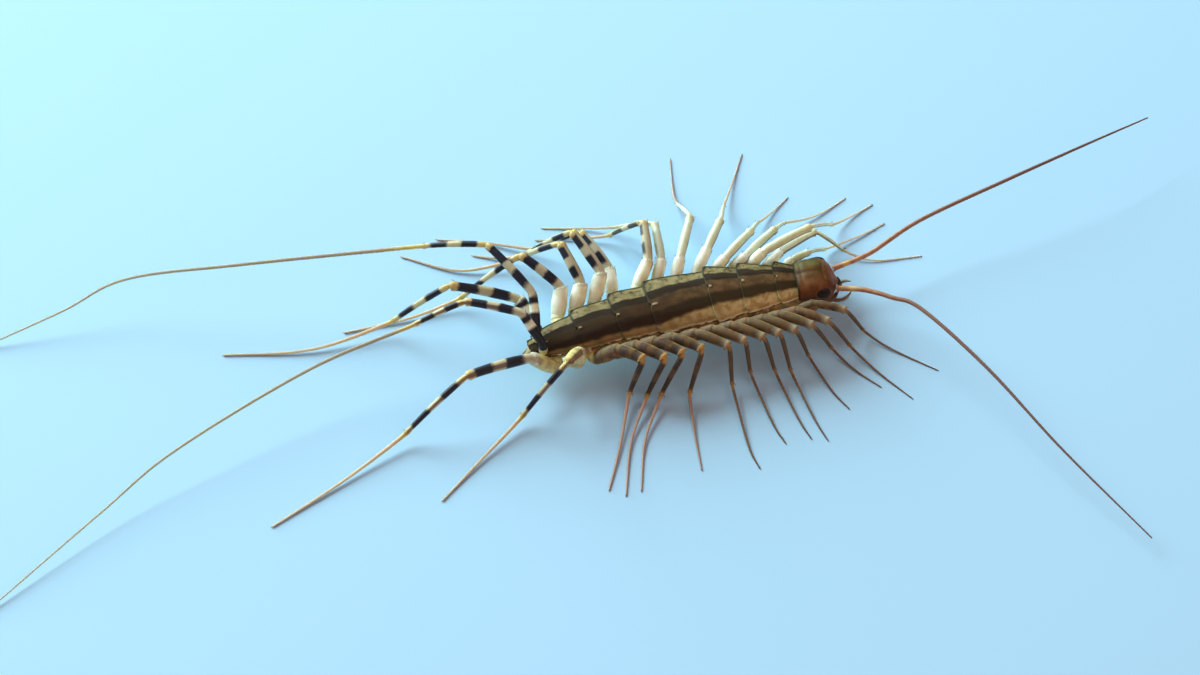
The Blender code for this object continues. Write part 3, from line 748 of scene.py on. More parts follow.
def belly_plate_material():
    """Belly plates: pale straw with a browner rear edge."""
    paint = Paint("belly_plates", 0.42, mottle_scale=1800.0)
    along, = paint.attributes("plate_along")
    paint.colour = paint.mottled((0.50, 0.42, 0.22), (0.36, 0.27, 0.12))
    paint.lay(along.rise(0.75, 1.0) * 0.6, (0.20, 0.11, 0.05))
    return paint.finish()


def leg_material(looks, name):
    """Legs: pale in front, banded dark behind, with yellow-olive joints and pinkish feet. The right (near)
    legs up to the twelfth carry painted shade: mottled brown above, dark brown on the lower leg, weaker
    bands and darker front feet.
    """
    roughness, shine, depth = LEG_FINISH[name]
    paint = Paint(name, roughness, mottle_scale=1400.0, pit_scale=8000.0, relief=0.000018)
    mix, noise = paint.mix, paint.noise
    along, upward, rearward, banding, band_edge = paint.attributes(
        "along", "upward", "rearward", "banding", "band_edge")
    olive_end, dark_thigh, brown, shaded_foot, grey_foot = paint.attributes(
        "olive_end", "dark_thigh", "brown", "shaded_foot", "grey_foot")
    shifted = along + (noise(1600.0) - 0.5) * 0.12
    olive = (olive_end - shifted).rise(-0.1, 0.1)
    # Mottled browns for the right (near) legs: real mottling, darkened as painted shade
    blotch_and_shade = mix(noise(1300.0, 4.0).rise(0.44, 0.58), (0.28, 0.095, 0.028), (0.27, 0.175, 0.045))
    blotch_and_shade = mix(noise(1900.0, 2.0).rise(0.50, 0.62), blotch_and_shade, (0.055, 0.024, 0.011))
    blotch_and_shade = mix(noise(2000.0, 2.0).rise(0.63, 0.72), blotch_and_shade, (0.42, 0.31, 0.18))
    patch = mix(paint.fine, (0.12, 0.058, 0.020), (0.24, 0.16, 0.045))
    blotch_and_shade = mix(noise(420.0, 3.0).rise(0.47, 0.57) * 0.75, blotch_and_shade, patch)
    # Painted shade over the upper rear side of the near legs, the side that faces the key light
    blotch_and_shade = mix((upward + rearward).rise(0.25, 1.25) * 0.75, blotch_and_shade, (0.070, 0.038, 0.018))
    foot = mix(paint.fine, looks.foot, (0.42, 0.28, 0.23))
    foot = mix(grey_foot, foot, (0.17, 0.165, 0.19))
    # Painted shade: the right (near) front feet turn dark brown
    foot = mix(shaded_foot, foot, (0.14, 0.080, 0.055))
    paint.colour = mix(banding.rise(0.1, 0.9), looks.pale, looks.straw)
    paint.lay(shifted.rise(2.1, 1.9), looks.thigh)
    paint.lay(paint.mottle * 0.30, (0.40, 0.37, 0.20))
    # Painted shade on the right (near) legs: mottled browns on the upper parts, dark brown from the knee
    # down
    paint.lay(shifted.rise(3.1, 2.7) * brown, blotch_and_shade)
    paint.lay(shifted.rise(2.7, 3.1) * brown, (0.10, 0.066, 0.042))
    paint.lay(olive * 0.9, paint.mottled((0.76, 0.68, 0.29), (0.42, 0.34, 0.13)))
    paint.lay(along.rise(3.97, 4.03), foot)
    knee = shifted.band(3.0, 0.11, 0.05).most(along.band(3.98, 0.06, 0.03))
    knee = knee * (banding * 0.5 + 0.35) * (1.0 - olive)
    paint.lay(knee, mix(brown, looks.knee, (0.56, 0.32, 0.09)))
    line = rearward.band(-0.97, 0.10, 0.06) * along.rise(1.6, 2.0) * along.rise(4.1, 3.9)
    paint.lay(line * 0.7, (0.075, 0.030, 0.045))
    bands = None
    for centre, half_width in DARK_BANDS:
        band = shifted.band(centre, half_width, 0.03)
        bands = bands.most(band) if bands else band
    thigh = shifted.band(1.10, 0.43, 0.05).most(shifted.band(1.84, 0.10, 0.04))
    bands = (bands * (1.0 - olive)).most(thigh * dark_thigh)
    facing = (rearward - band_edge).rise(-0.2, 0.2)
    # On the right (near) legs the bands are weaker, as painted shade dulls them
    paint.lay(bands * facing * banding * (1.0 - brown * 0.55), looks.band)
    hip = shifted.band(2.02, 0.12, 0.05) * banding * (1.0 - brown)
    paint.lay(hip * 0.7, (0.52, 0.51, 0.42))
    return paint.finish(shine=shine, depth=depth)


def feeler_material(looks):
    """Feelers: orange brown with a yellow mark, paler at the root and darker to the tip."""
    paint = Paint("feeler_chitin", 0.45, mottle_scale=1500.0)
    along, = paint.attributes("along")
    paint.colour = paint.mottled(looks.feeler, (0.46, 0.20, 0.095))
    paint.lay(along.band(0.22, 0.02, 0.01), (0.68, 0.46, 0.16))
    paint.lay(along.rise(0.05, 0.02), (0.62, 0.44, 0.32))
    paint.lay(along.rise(0.15, 0.8), (0.17, 0.085, 0.070))
    return paint.finish(shine=0.4)


def head_material(looks):
    """Head capsule: brown middle, olive left side, rusty right side and face, and a dark rim."""
    paint = Paint("head_chitin", 0.52, mottle_scale=1200.0, relief=0.000015)
    ahead, outward, under = paint.attributes("ahead", "outward", "under")
    wander = (paint.noise(900.0) - 0.5) * 0.5
    side = outward + wander
    olive = paint.mottled(looks.olive, (0.080, 0.055, 0.016))
    brown = paint.mottled((0.115, 0.055, 0.014), (0.075, 0.036, 0.010))
    paint.colour = paint.mix(side.rise(0.10, 0.40), brown, olive)
    paint.lay((ahead + wander).rise(0.55, 0.85), paint.mix(paint.fine, looks.rust, (0.18, 0.06, 0.028)))
    paint.lay(side.rise(-0.15, -0.50), paint.mottled((0.115, 0.042, 0.014), (0.20, 0.088, 0.034)))
    paint.lay(outward.rise(-0.80, -0.97), (0.15, 0.07, 0.032))
    rim = outward.band(0.84, 0.07, 0.05).most(ahead.rise(0.05, 0.01))
    paint.lay(rim * 0.85, (0.028, 0.022, 0.010))
    paint.lay(under.rise(0.1, 0.6), (0.22, 0.10, 0.04))
    return paint.finish(shine=0.15)


def plain_material(name, mottle_scale=1500.0):
    """Chitin of two close colours, for the small pieces."""
    colour, other, roughness = SMALL_FINISHES[name]
    paint = Paint(name, roughness, mottle_scale=mottle_scale)
    paint.colour = paint.mottled(colour, other)
    return paint.finish(shine=0.5)


def tipped_material(name, colour, tip):
    """A limb under the head whose end is darker."""
    paint = Paint(name, 0.35)
    along, = paint.attributes("along")
    paint.colour = paint.mottled(colour, tuple(part * 0.6 for part in colour))
    paint.lay(along.rise(0.72, 0.95), tip)
    return paint.finish(coat=0.2)


# Shapes

def settle(thing, slot, *nodes):
    """Fix a finished piece to the frame, in place of the nodes that it stands for."""
    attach(thing, "root")
    if nodes:
        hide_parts(*nodes)


def show(name, data):
    """A new object in the scene, for a mesh, a light or a camera."""
    thing = bpy.data.objects.new(name, data)
    bpy.context.scene.collection.objects.link(thing)
    return thing


def write_attribute(mesh, name, values):
    """Store a number or a direction for each point of a mesh."""
    directions = isinstance(values[0], Vector)
    layer = mesh.attributes.new(name, "FLOAT_VECTOR" if directions else "FLOAT", "POINT")
    if directions:
        layer.data.foreach_set("vector", [part for value in values for part in value])
    else:
        layer.data.foreach_set("value", values)


def new_mesh(name, points, edges, faces, **values):
    """A mesh through points of the animal, with its values on the points."""
    mesh = bpy.data.meshes.new(name)
    mesh.from_pydata([metres(point) for point in points], edges, faces)
    for label, column in values.items():
        write_attribute(mesh, label, column)
    return mesh


def apply_modifiers(thing):
    """Turn what the modifiers make into the object's own mesh."""
    graph = bpy.context.evaluated_depsgraph_get()
    plain = bpy.data.meshes.new_from_object(thing.evaluated_get(graph), depsgraph=graph)
    thing.modifiers.clear()
    thing.data = plain
    plain.name = thing.name
    return thing


def grow(name, mesh, tree, values):
    """Run a tree on a mesh and keep the result as a plain object."""
    thing = show(name, mesh)
    modifier = thing.modifiers.new("nodes", "NODES")
    modifier.node_group = tree
    for socket in tree.interface.items_tree:
        if socket.in_out == "INPUT" and socket.name in values:
            modifier[socket.identifier] = values[socket.name]
    return apply_modifiers(thing)


def closed_loft(name, rings, material, **values):
    """One closed skin through rings of points, smooth, with its values on the points."""
    sides, last = len(rings[0]), len(rings) - 1
    faces = []
    for level in range(last):
        for side in range(sides):
            a = level * sides + side
            b = level * sides + (side + 1) % sides
            faces.append((a, b, b + sides, a + sides))
    faces.append(tuple(reversed(range(sides))))
    faces.append(tuple(range(last * sides, len(rings) * sides)))
    mesh = new_mesh(name, [point for ring in rings for point in ring], [], faces, **values)
    shell = bmesh.new()
    shell.from_mesh(mesh)
    bmesh.ops.recalc_face_normals(shell, faces=shell.faces)
    shell.to_mesh(mesh)
    shell.free()
    mesh.shade_smooth()
    mesh.materials.append(material)
    return show(name, mesh)


def curved_plate(name, surface, grid, thickness, material, faces_up=True, centre=None):
    """A thin plate over surface(u, v), u from 0 to 1 along it and v from -1 to 1 across it."""
    rows, columns = grid
    wide = columns + 1
    spots = [(row / rows, 2 * column / columns - 1) for row in range(rows + 1) for column in range(wide)]
    corners = [row * wide + column for row in range(rows) for column in range(columns)]
    mesh = new_mesh(name, [surface(u, v) for u, v in spots], [],
                    [(first, first + 1, first + wide + 1, first + wide) for first in corners],
                    plate_along=[u for u, v in spots], plate_across=[v for u, v in spots],
                    stripe_place=[v - centre(u) if centre else v for u, v in spots])
    mesh.update()
    if (sum(face.normal.z for face in mesh.polygons) > 0) != faces_up:
        mesh.flip_normals()
    mesh.materials.append(material)
    mesh.shade_smooth()
    thing = show(name, mesh)
    solid = thing.modifiers.new("thickness", "SOLIDIFY")
    solid.thickness = thickness
    solid.offset = -1.0
    round_off = thing.modifiers.new("rounding", "BEVEL")
    round_off.width = thickness * PLATE_ROUNDING
    round_off.segments = 1
    round_off.limit_method = "ANGLE"
    round_off.angle_limit = math.radians(60)
    return apply_modifiers(thing)


def join(name, things):
    """Make one object of several."""
    whole = bmesh.new()
    mesh = bpy.data.meshes.new(name)
    for thing in things:
        whole.from_mesh(thing.data)
    whole.to_mesh(mesh)
    whole.free()
    for material in things[0].data.materials:
        mesh.materials.append(material)
    for thing in things:
        bpy.data.objects.remove(thing, do_unlink=True)
    return show(name, mesh)


class Limb:
    """A limb's centre line, with its sizes and its place along the limb at each station."""

    def __init__(self):
        self.points = []
        self.rows = []

    def add(self, point, width, height, along, turns=0.5, grooved=0.0):
        """Add a station. Turns counts the rings up to it, and grooved is the depth of their grooves."""
        self.points.append(point)
        self.rows.append((width, height, along, turns, grooved))

    def part(self, start, end, shape, width, height, along, bow=0.0):
        """Add one part of the limb, from joint to joint, with its own thickness along it."""
        length = (end - start).length
        count = max(3, round(length / LIMB_STEP))
        for index in range(count):
            share = index / count
            point = start.lerp(end, share)
            point.z += bow * length * math.sin(math.pi * share)
            size = follow(shape, share)
            self.add(point, width * size, height * size, along + share)

    def round_joints(self):
        """Carry the centre line round its joints in short curves."""
        for _ in range(JOINT_PASSES):
            old = [point.copy() for point in self.points]
            for index in range(1, len(old) - 1):
                reach = min(JOINT_SMOOTHING, index, len(old) - 1 - index)
                near = old[index - reach:index + reach + 1]
                self.points[index] = sum(near, Vector()) / len(near)

    def frames(self):
        """The direction, the upright and the sideways direction at each station."""
        upright = Vector((0, 0, 1))
        result = []
        for index in range(len(self.points)):
            before = self.points[max(index - 1, 0)]
            after = self.points[min(index + 1, len(self.points) - 1)]
            forward = (after - before).normalized()
            if index == 0 and abs(forward.z) > 0.9:
                upright = Vector((1, 0, 0))
            upright = (upright - forward * upright.dot(forward)).normalized()
            result.append((forward, upright, forward.cross(upright)))
        return result

    def bristle(self, index, frames, angle, size, lean, onward=1.0):
        """A bristle on the skin, at an angle round the limb: its place, direction and size."""
        forward, upright, across = frames[index]
        width, height = self.rows[index][:2]
        out = across * (width * math.cos(angle)) + upright * (height * math.sin(angle))
        lie = (out.normalized() * lean + forward * onward).normalized()
        return self.points[index] + out * BRISTLE_SINK, lie, size

    def skin(self, name, sides, groove, material, **extra):
        """Grow the skin round the centre line. The extra values are the same all over it."""
        count = len(self.points)
        widths, heights, along, turns, grooved = zip(*self.rows)
        mesh = new_mesh(name, self.points, [(index, index + 1) for index in range(count - 1)], [],
                        half_width=[value * MM for value in widths],
                        half_height=[value * MM for value in heights],
                        along=along, turns=turns, grooved=grooved,
                        upright=[made[1] for made in self.frames()],
                        **{label: [value] * count for label, value in extra.items()})
        return grow(name, mesh, shared_tree("limb_sweep", limb_tree),
                    {"Sides": sides, "Groove": groove, "Material": material})


def scatter(name, spots, shape, material, thickness=0.1, bend=0.0):
    """Put bristles or facets on a list of (point, direction, size)."""
    points, lies, sizes = zip(*spots)
    mesh = new_mesh(name, points, [], [], lie=lies, size=sizes)
    tree = shared_tree(f"{shape}_scatter", scatter_tree, f"{shape}_scatter", shape)
    return grow(name, mesh, tree, {"Thickness": thickness, "Bend": bend, "Material": material})


def bristles(kind, spots, material, side=None):
    """Bristles of one kind, on one side of the animal or on both."""
    return scatter(f"{kind}_{side}" if side else kind, spots, "bristle", material, *BRISTLES[kind])


# Trunk

def midline(x):
    """Where the middle of the stripes runs across a plate: the body rolls a little along its length."""
    return STRIPE_ROLL[0] + (STRIPE_ROLL[1] - STRIPE_ROLL[0]) * ease(-3.5, 3.0, x)


def plate_span(number):
    """The front and rear stations of a back plate, with its overlap over the next one."""
    front = NECK_X if number == 1 else PLATE_REAR_X[number - 2]
    return front, PLATE_REAR_X[number - 1] - bpy.context.scene.centipede_plates.overlap / MM


def plate_surface(number):
    """The surface of one back plate, a little wider and higher at the rear."""
    front, rear = plate_span(number)
    length = front - rear

    def surface(u, v):
        x = front - length * u
        from_middle = v - midline(x)
        # All four corners are rounded off, and the rear edge has a notch in its middle
        corner = abs(v) ** 7
        x += corner * (0.34 * ease(0.6, 1.0, u) - 0.25 * ease(0.4, 0.0, u)) * min(1.0, length / 2)
        x += 0.15 * hump(from_middle, 0.06) * ease(0.86, 1.0, u)
        # The plate arches, leans and rises to the rear
        half = PLATE_SHARE * glide(TRUNK_HALF_WIDTH, x) * (0.92 + 0.11 * ease(0.0, 0.85, u)) + 0.03
        height = glide(TRUNK_TOP, x) - PLATE_DROP * half * abs(v) ** 2.1 + BACK_LEAN * half * v
        height += -0.10 + 0.22 * ease(0.0, 1.0, u)
        # A bump at the slit, a rim with its furrow along each side, a low keel over each stripe and a
        # raised rear edge
        height += 0.05 * hump(from_middle, 0.08) * hump(u - 0.92, 0.06)
        height += 0.05 * ease(0.93, 1.0, abs(v)) - 0.035 * hump(abs(v) - 0.90, 0.03)
        height += 0.03 * hump(abs(v) - 0.45, 0.10) * ease(0.1, 0.5, u) * ease(1.0, 0.8, u)
        height += 0.02 * ease(0.93, 1.0, u)
        return body_point(x, half * v, height)
    return surface


def skin_ring(x, sides):
    """Outline of the soft body at one station, and how far each of its points is belly."""
    half = glide(TRUNK_HALF_WIDTH, x)
    bottom = glide(TRUNK_BOTTOM, x)
    top = glide(TRUNK_TOP, x) - SKIN_BELOW_TOP
    middle = (top + bottom) / 2
    past_cap = min(max(TAIL_CAP_X - x, 0.0) / TAIL_CAP_LENGTH, 1.0)
    shrink = math.sqrt(max(0.006, 1 - past_cap ** 2))
    flank = FLANK_SHARE * half
    edge = top - PLATE_DROP * half
    lean = BACK_LEAN * half / PLATE_SHARE
    # Knots of the outline: the belly and one flank up to the middle of the back, then the other side
    low = [(0.0, bottom), (flank * 0.7, bottom + 0.03), (flank * 1.12, bottom + 0.30)]
    high = [(flank * 1.32, (bottom + edge) / 2), (half * 0.95, edge - 0.05),
            (half * 0.6, edge + (top - edge) / 2)]
    knots = [Vector((side, height, 0.0)) for side, height in low]
    knots += [Vector((side, height + lean * side / half, 0.0)) for side, height in high]
    knots.append(Vector((0.0, top, 0.0)))
    knots += [Vector((-side, height - lean * side / half, 0.0)) for side, height in reversed(high)]
    knots += [Vector((-side, height, 0.0)) for side, height in reversed(low[1:])]
    ring, belly = [], []
    for index in range(sides):
        place_on = index / sides * len(knots)
        start = int(place_on)
        near = [knots[(start + shift) % len(knots)] for shift in (-1, 0, 1, 2)]
        side, height, _ = spline(*near, place_on - start)
        # Folds of the flank, a boss at each leg's root but the last pair's, and faint belly rings
        on_flank = ease(0.4 * flank, 0.9 * flank, abs(side)) * ease(edge + 0.3, edge - 0.1, height)
        swell = 0.05 * math.sin(x * 7.0 + height * 3.0) + 0.03 * math.sin(x * 15.0 - height * 5.0)
        for root_x in LEG_ROOT_X[:-1]:
            swell += 0.26 * hump(x - root_x, 0.46) * hump(height - LEG_ROOT_HEIGHT, 0.46)
        side += math.copysign(swell * on_flank, side)
        height += 0.02 * math.sin(x * 9.0) * ease(bottom + 0.5, bottom, height)
        ring.append(body_point(x, side * shrink, middle + (height - middle) * shrink))
        belly.append(ease(bottom + 0.6, bottom + 0.1, height))
    return ring, belly


def belly_surface(x):
    """The surface of one belly plate between a pair of legs."""
    bottom = glide(TRUNK_BOTTOM, x)
    half = BELLY_WIDTH_SHARE * FLANK_SHARE * glide(TRUNK_HALF_WIDTH, x) + 0.12

    def surface(u, v):
        spread = 1 - 0.18 * u - 0.25 * abs(2 * u - 1) ** 4
        rise = 0.16 * abs(v) ** 2.5 + 0.05 * abs(2 * u - 1) ** 3
        return body_point(x + BELLY_LENGTH / 2 - BELLY_LENGTH * u, half * v * spread,
                          bottom - 0.05 + rise)
    return surface


class CENTIPEDE_OT_trunk(bpy.types.Operator):
    """Build the soft body, the back plates and the belly plates"""
    bl_idname = "centipede.trunk"
    bl_label = "Trunk"

    def execute(self, context):
        looks = context.scene.centipede_plates
        stations = [TAIL_CAP_X - TAIL_CAP_LENGTH * math.cos(math.pi / 2 * index / CAP_RINGS)
                    for index in range(CAP_RINGS)]
        stations += [TAIL_CAP_X + (BODY_END_X - TAIL_CAP_X) * index / BODY_RINGS
                     for index in range(BODY_RINGS + 1)]
        rings, masks = zip(*(skin_ring(x, BODY_SIDES) for x in stations))
        skin = closed_loft("body_skin", rings, skin_material(looks),
                           belly=[share for mask in masks for share in mask])
        settle(skin, "plates", "tail")
        finish = plates_material(looks)
        for number in range(1, len(PLATE_REAR_X) + 1):
            front, rear = plate_span(number)
            plate = curved_plate(f"back_plate_{number}", plate_surface(number), PLATE_GRID, looks.thickness,
                                 finish, centre=lambda u: midline(front + (rear - front) * u))
            settle(plate, "plates", f"trunk_{number}")
        straw = belly_plate_material()
        pieces = [curved_plate(f"belly_plate_{index}", belly_surface(x), BELLY_GRID, BELLY_THICKNESS,
                               straw, faces_up=False)
                  for index, x in enumerate(LEG_ROOT_X[:-1])]
        settle(join("belly_plates", pieces), "plates")
        return {"FINISHED"}


# Head

def head_size(x):
    """Half width, top and bottom of the head at one station."""
    return tuple(glide(tuple((station[0], station[part]) for station in HEAD_STATIONS), x)
                 for part in (1, 2, 3))


def head_spot(x, angle):
    """A point of the head's surface, with its furrows, eye rims and feeler sockets."""
    half, top, bottom = head_size(x)
    ahead = (x - HEAD_STATIONS[0][0]) / (HEAD_STATIONS[-1][0] - HEAD_STATIONS[0][0])
    close = math.sqrt(max(0.0, 1 - ease(0.72, 1.0, ahead) ** 2 * 0.9))
    middle = (top + bottom) / 2
    across, up = math.cos(angle), math.sin(angle)
    power = HEAD_ROUNDNESS
    squared = (abs(across) ** power + abs(up) ** power) ** (-1 / power)
    side = half * squared * across * close
    height = middle + (top - bottom) / 2 * squared * up * close
    on_top = ease(0.1, 0.5, up)
    # Furrows: along the middle, across behind the face, along both sides, and round the rear
    relief = -0.07 * hump(side, 0.10) * on_top * ease(0.62, 0.45, ahead)
    relief -= 0.06 * hump(ahead - 0.60 - 0.10 * abs(across), 0.035) * on_top
    relief -= 0.05 * hump(abs(side) - 0.75, 0.10) * on_top * ease(0.1, 0.3, ahead) * ease(0.6, 0.5, ahead)
    relief -= 0.05 * hump(ahead - 0.12, 0.03)
    # A rim and a hollow for each eye, then a ring round each feeler's socket
    eye_away = math.hypot((x - EYE_CENTRE[0]) / EYE_RADII[0], (height - EYE_CENTRE[2]) / EYE_RADII[2])
    if abs(across) > 0.5:
        relief += 0.09 * hump(eye_away - 1.08, 0.16) - 0.10 * ease(1.0, 0.5, eye_away)
    if ahead > 0.75:
        socket_away = math.hypot(abs(side) - SOCKET_PLACE[0], height - SOCKET_PLACE[1])
        relief += 0.08 * hump(socket_away - SOCKET_RADIUS, 0.10)
    grow_by = 1 + relief / max(0.5, math.hypot(side, height - middle))
    return body_point(x, side * grow_by, middle + (height - middle) * grow_by)


def face_surface(u, v):
    """The upper lip: a small shield that hangs under the front of the head."""
    half = LIP_HALF_WIDTH - 0.16 * u
    x = LIP_PLACE[0] + LIP_BULGE * (1 - v * v) - 0.16 * u
    height = LIP_PLACE[1] - LIP_LENGTH * u + 0.10 * v * v * (1 - u)
    height += 0.10 * hump(v, 0.22) * ease(0.7, 1.0, u)
    return body_point(x, half * v, height)


class CENTIPEDE_OT_head(bpy.types.Operator):
    """Build the head capsule, the upper lip and the jaws"""
    bl_idname = "centipede.head"
    bl_label = "Head"

    def execute(self, context):
        looks = context.scene.centipede_head
        first, last = HEAD_STATIONS[0][0], HEAD_STATIONS[-1][0]
        shares = [math.sin(level / HEAD_LEVELS * math.pi / 2) for level in range(HEAD_LEVELS + 1)]
        angles = [2 * math.pi * side / HEAD_SIDES for side in range(HEAD_SIDES)]
        rings = [[head_spot(first + (last - first) * share, angle) for angle in angles] for share in shares]
        capsule = closed_loft("head_capsule", rings, head_material(looks),
                              ahead=[share for share in shares for _ in angles],
                              outward=[math.cos(angle) for angle in angles] * len(shares),
                              under=[-math.sin(angle) for angle in angles] * len(shares))
        settle(capsule, "head", "head")
        amber = plain_material("jaw_chitin")
        settle(curved_plate("upper_lip", face_surface, LIP_GRID, LIP_THICKNESS, amber), "mouthparts")
        jaws = []
        width, narrowing = JAW_HALF_WIDTH
        height, thinning = JAW_HALF_HEIGHT
        for sign in SIDES.values():
            limb = Limb()
            route = [body_point(x, sign * out, up) for x, out, up in JAW_ROUTE]
            for index in range(JAW_STEPS + 1):
                share = index / JAW_STEPS
                limb.add(smooth_route(route, share), width - narrowing * share,
                         height - thinning * share, share)
            jaws.append(limb.skin(f"jaw_{sign}", LIMB_SIDES, 0.0, amber))
        settle(join("jaws", jaws), "mouthparts")
        return {"FINISHED"}


def eye_point(way, sign):
    """The point of an eye that lies a way from its middle, with the eye taken as a ball of size 1."""
    x, out, up = (centre + part * radius for centre, part, radius in zip(EYE_CENTRE, way, EYE_RADII))
    return body_point(x, sign * out, up)


class CENTIPEDE_OT_eyes(bpy.types.Operator):
    """Build the two compound eyes with their facets"""
    bl_idname = "centipede.eyes"
    bl_label = "Eyes"

    def execute(self, context):
        looks = context.scene.centipede_head
        finish = plain_material("eye_lens", 3000.0)
        golden = math.pi * (3 - math.sqrt(5))
        for name, sign in SIDES.items():
            spots = []
            for index in range(looks.facets):
                up = 1 - 2 * (index + 0.5) / looks.facets
                ring = math.sqrt(1 - up * up)
                way = Vector((ring * math.cos(golden * index), up, ring * math.sin(golden * index)))
                lie = Vector(part / radius for part, radius in zip(way, EYE_RADII)).normalized()
                if way.y > EYE_INNER_EDGE:
                    spots.append((eye_point(way, sign), Vector((lie.x, sign * lie.y, lie.z)), looks.facet))
            lenses = scatter(f"facets_{name}", spots, "facet", finish)
            core = bmesh.new()
            bmesh.ops.create_uvsphere(core, u_segments=EYE_SIDES, v_segments=EYE_LEVELS, radius=1.0)
            for point in core.verts:
                point.co = metres(eye_point(point.co, sign))
            bmesh.ops.recalc_face_normals(core, faces=core.faces)
            mesh = bpy.data.meshes.new(f"eye_core_{name}")
            core.to_mesh(mesh)
            core.free()
            mesh.shade_smooth()
            mesh.materials.append(finish)
            eye = join(f"compound_eye_{name}", [show(f"eye_core_{name}", mesh), lenses])
            settle(eye, "eyes", f"eye_{name}")
        return {"FINISHED"}


class CENTIPEDE_OT_feelers(bpy.types.Operator):
    """Build the two long ringed feelers and their fine hairs"""
    bl_idname = "centipede.feelers"
    bl_label = "Feelers"

    def execute(self, context):
        finish = feeler_material(context.scene.centipede_head)
        hair = plain_material("feeler_hair")
        spots = []
        chance = random.Random(SEEDS["feelers"])
        x, out = FEELER_ROOT
        back, inward, down = FEELER_SINK
        for name, sign in SIDES.items():
            heights = FEELER_HEIGHTS[name]
            points = [body_point(x - back, sign * (out - inward), heights[0] - down),
                      body_point(x, sign * out, heights[0])]
            for (heading, reach), height in zip(FEELER_ROUTE[name], heights[1:]):
                points.append(step(points[-1], heading, reach, sign, height))
            length = sum((b - a).length for a, b in zip(points, points[1:]))
            count = STEPS_A_RING * round(length / (LIMB_STEP * FEELER_STEP_SHARE * STEPS_A_RING))
            limb = Limb()
            for index in range(count + 1):
                share = index / count
                radius = follow(FEELER_RADIUS, share)
                limb.add(smooth_route(points, share), radius, radius, share, index / STEPS_A_RING,
                         ease(0.04, 0.07, share))
            frames = limb.frames()
            spots += [limb.bristle(index, frames, chance.uniform(0, 2 * math.pi),
                                   chance.uniform(*FEELER_HAIR), lean=0.7)
                      for index in range(FEELER_HAIRS_FROM, count, BRISTLE_STEPS) for _ in range(2)]
            feeler = limb.skin(f"feeler_{name}", LIMB_SIDES, FEELER_GROOVE, finish)
            settle(feeler, "feelers", f"antenna_{name}")
        settle(bristles("feeler_hairs", spots, hair), "feelers")
        return {"FINISHED"}


class CENTIPEDE_OT_mouthparts(bpy.types.Operator):
    """Build the palps and the poison claws under the head"""
    bl_idname = "centipede.mouthparts"
    bl_label = "Mouthparts"

    def execute(self, context):
        palp = tipped_material("palp_chitin", (0.38, 0.25, 0.13), (0.20, 0.11, 0.055))
        claw = tipped_material("claw_chitin", (0.38, 0.20, 0.07), (0.035, 0.012, 0.006))
        chance = random.Random(SEEDS["mouthparts"])
        spots = []
        for kind, route, finish in (("palp", PALP_ROUTE, palp), ("forcipule", CLAW_ROUTE, claw)):
            x, out, height, radius = route[0]
            radii = [radius] + [spot[3] for spot in route]
            for name, sign in SIDES.items():
                points = [body_point(x - MOUTH_SINK[0], sign * out * MOUTH_SINK[1], height + MOUTH_SINK[2])]
                points += [body_point(x, sign * out, height) for x, out, height, _ in route]
                limb = Limb()
                # Each joint is a narrow waist, but for the tip
                for index in range(MOUTH_STEPS + 1):
                    share = index / MOUTH_STEPS
                    place_on = share * (len(points) - 1)
                    radius = follow(tuple(enumerate(radii)), place_on)
                    waist = 1 - 0.20 * hump((place_on + 0.5) % 1.0 - 0.5, 0.10) * ease(0.9, 0.7, share)
                    limb.add(smooth_route(points, share), radius * waist, radius * waist * 0.9, share)
                frames = limb.frames()
                spots += [limb.bristle(index, frames, chance.uniform(0, 2 * math.pi),
                                       chance.uniform(*MOUTH_HAIR), lean=1.0, onward=0.8)
                          for index in range(*MOUTH_HAIRS_SPAN, BRISTLE_STEPS) for _ in range(3)]
                piece = limb.skin(f"{kind}_skin_{name}", MOUTH_SIDES, 0.0, finish)
                settle(piece, "mouthparts", f"{kind}_{name}")
        hair = plain_material("mouth_hair")
        settle(bristles("mouth_hairs", spots, hair), "mouthparts")
        return {"FINISHED"}


# Legs

def leg_joints(side, number):
    """The root inside the body, the coxa's end, the hip, the knee and the ankle of a leg."""
    sign = SIDES[side]
    thigh, femur, shin, _, heights = LEG_POSTURE[side][number - 1]
    x = LEG_ROOT_X[number - 1]
    if number == len(LEG_ROOT_X):
        root = body_point(x, sign * LAST_ROOT_SIDE, LAST_ROOT_HEIGHT)
        coxa = root + Vector((0, 0, LAST_ROOT_REACH))
        inside = root - Vector((0, 0, LAST_ROOT_SINK))
    else:
        flank = FLANK_SHARE * follow(TRUNK_HALF_WIDTH, x) + ROOT_GAP
        plate = PLATE_SHARE * follow(TRUNK_HALF_WIDTH, x)
        edge = follow(TRUNK_TOP, x) - PLATE_DROP * plate + BACK_LEAN * sign * plate
        height = min(LEG_ROOT_HEIGHT, edge - PLATE_DEPTH - ROOT_BELOW_PLATE)
        root = body_point(x, sign * flank, height)
        coxa = body_point(x, sign * (flank + COXA_REACH), height)
        inside = body_point(x, sign * (flank - COXA_SINK[0]), height + COXA_SINK[1])
    hip = step(root, *thigh, sign, heights[0])
    knee = step(hip, *femur, sign, heights[1])
    ankle = step(knee, *shin, sign, heights[2])
    return inside, coxa, hip, knee, ankle


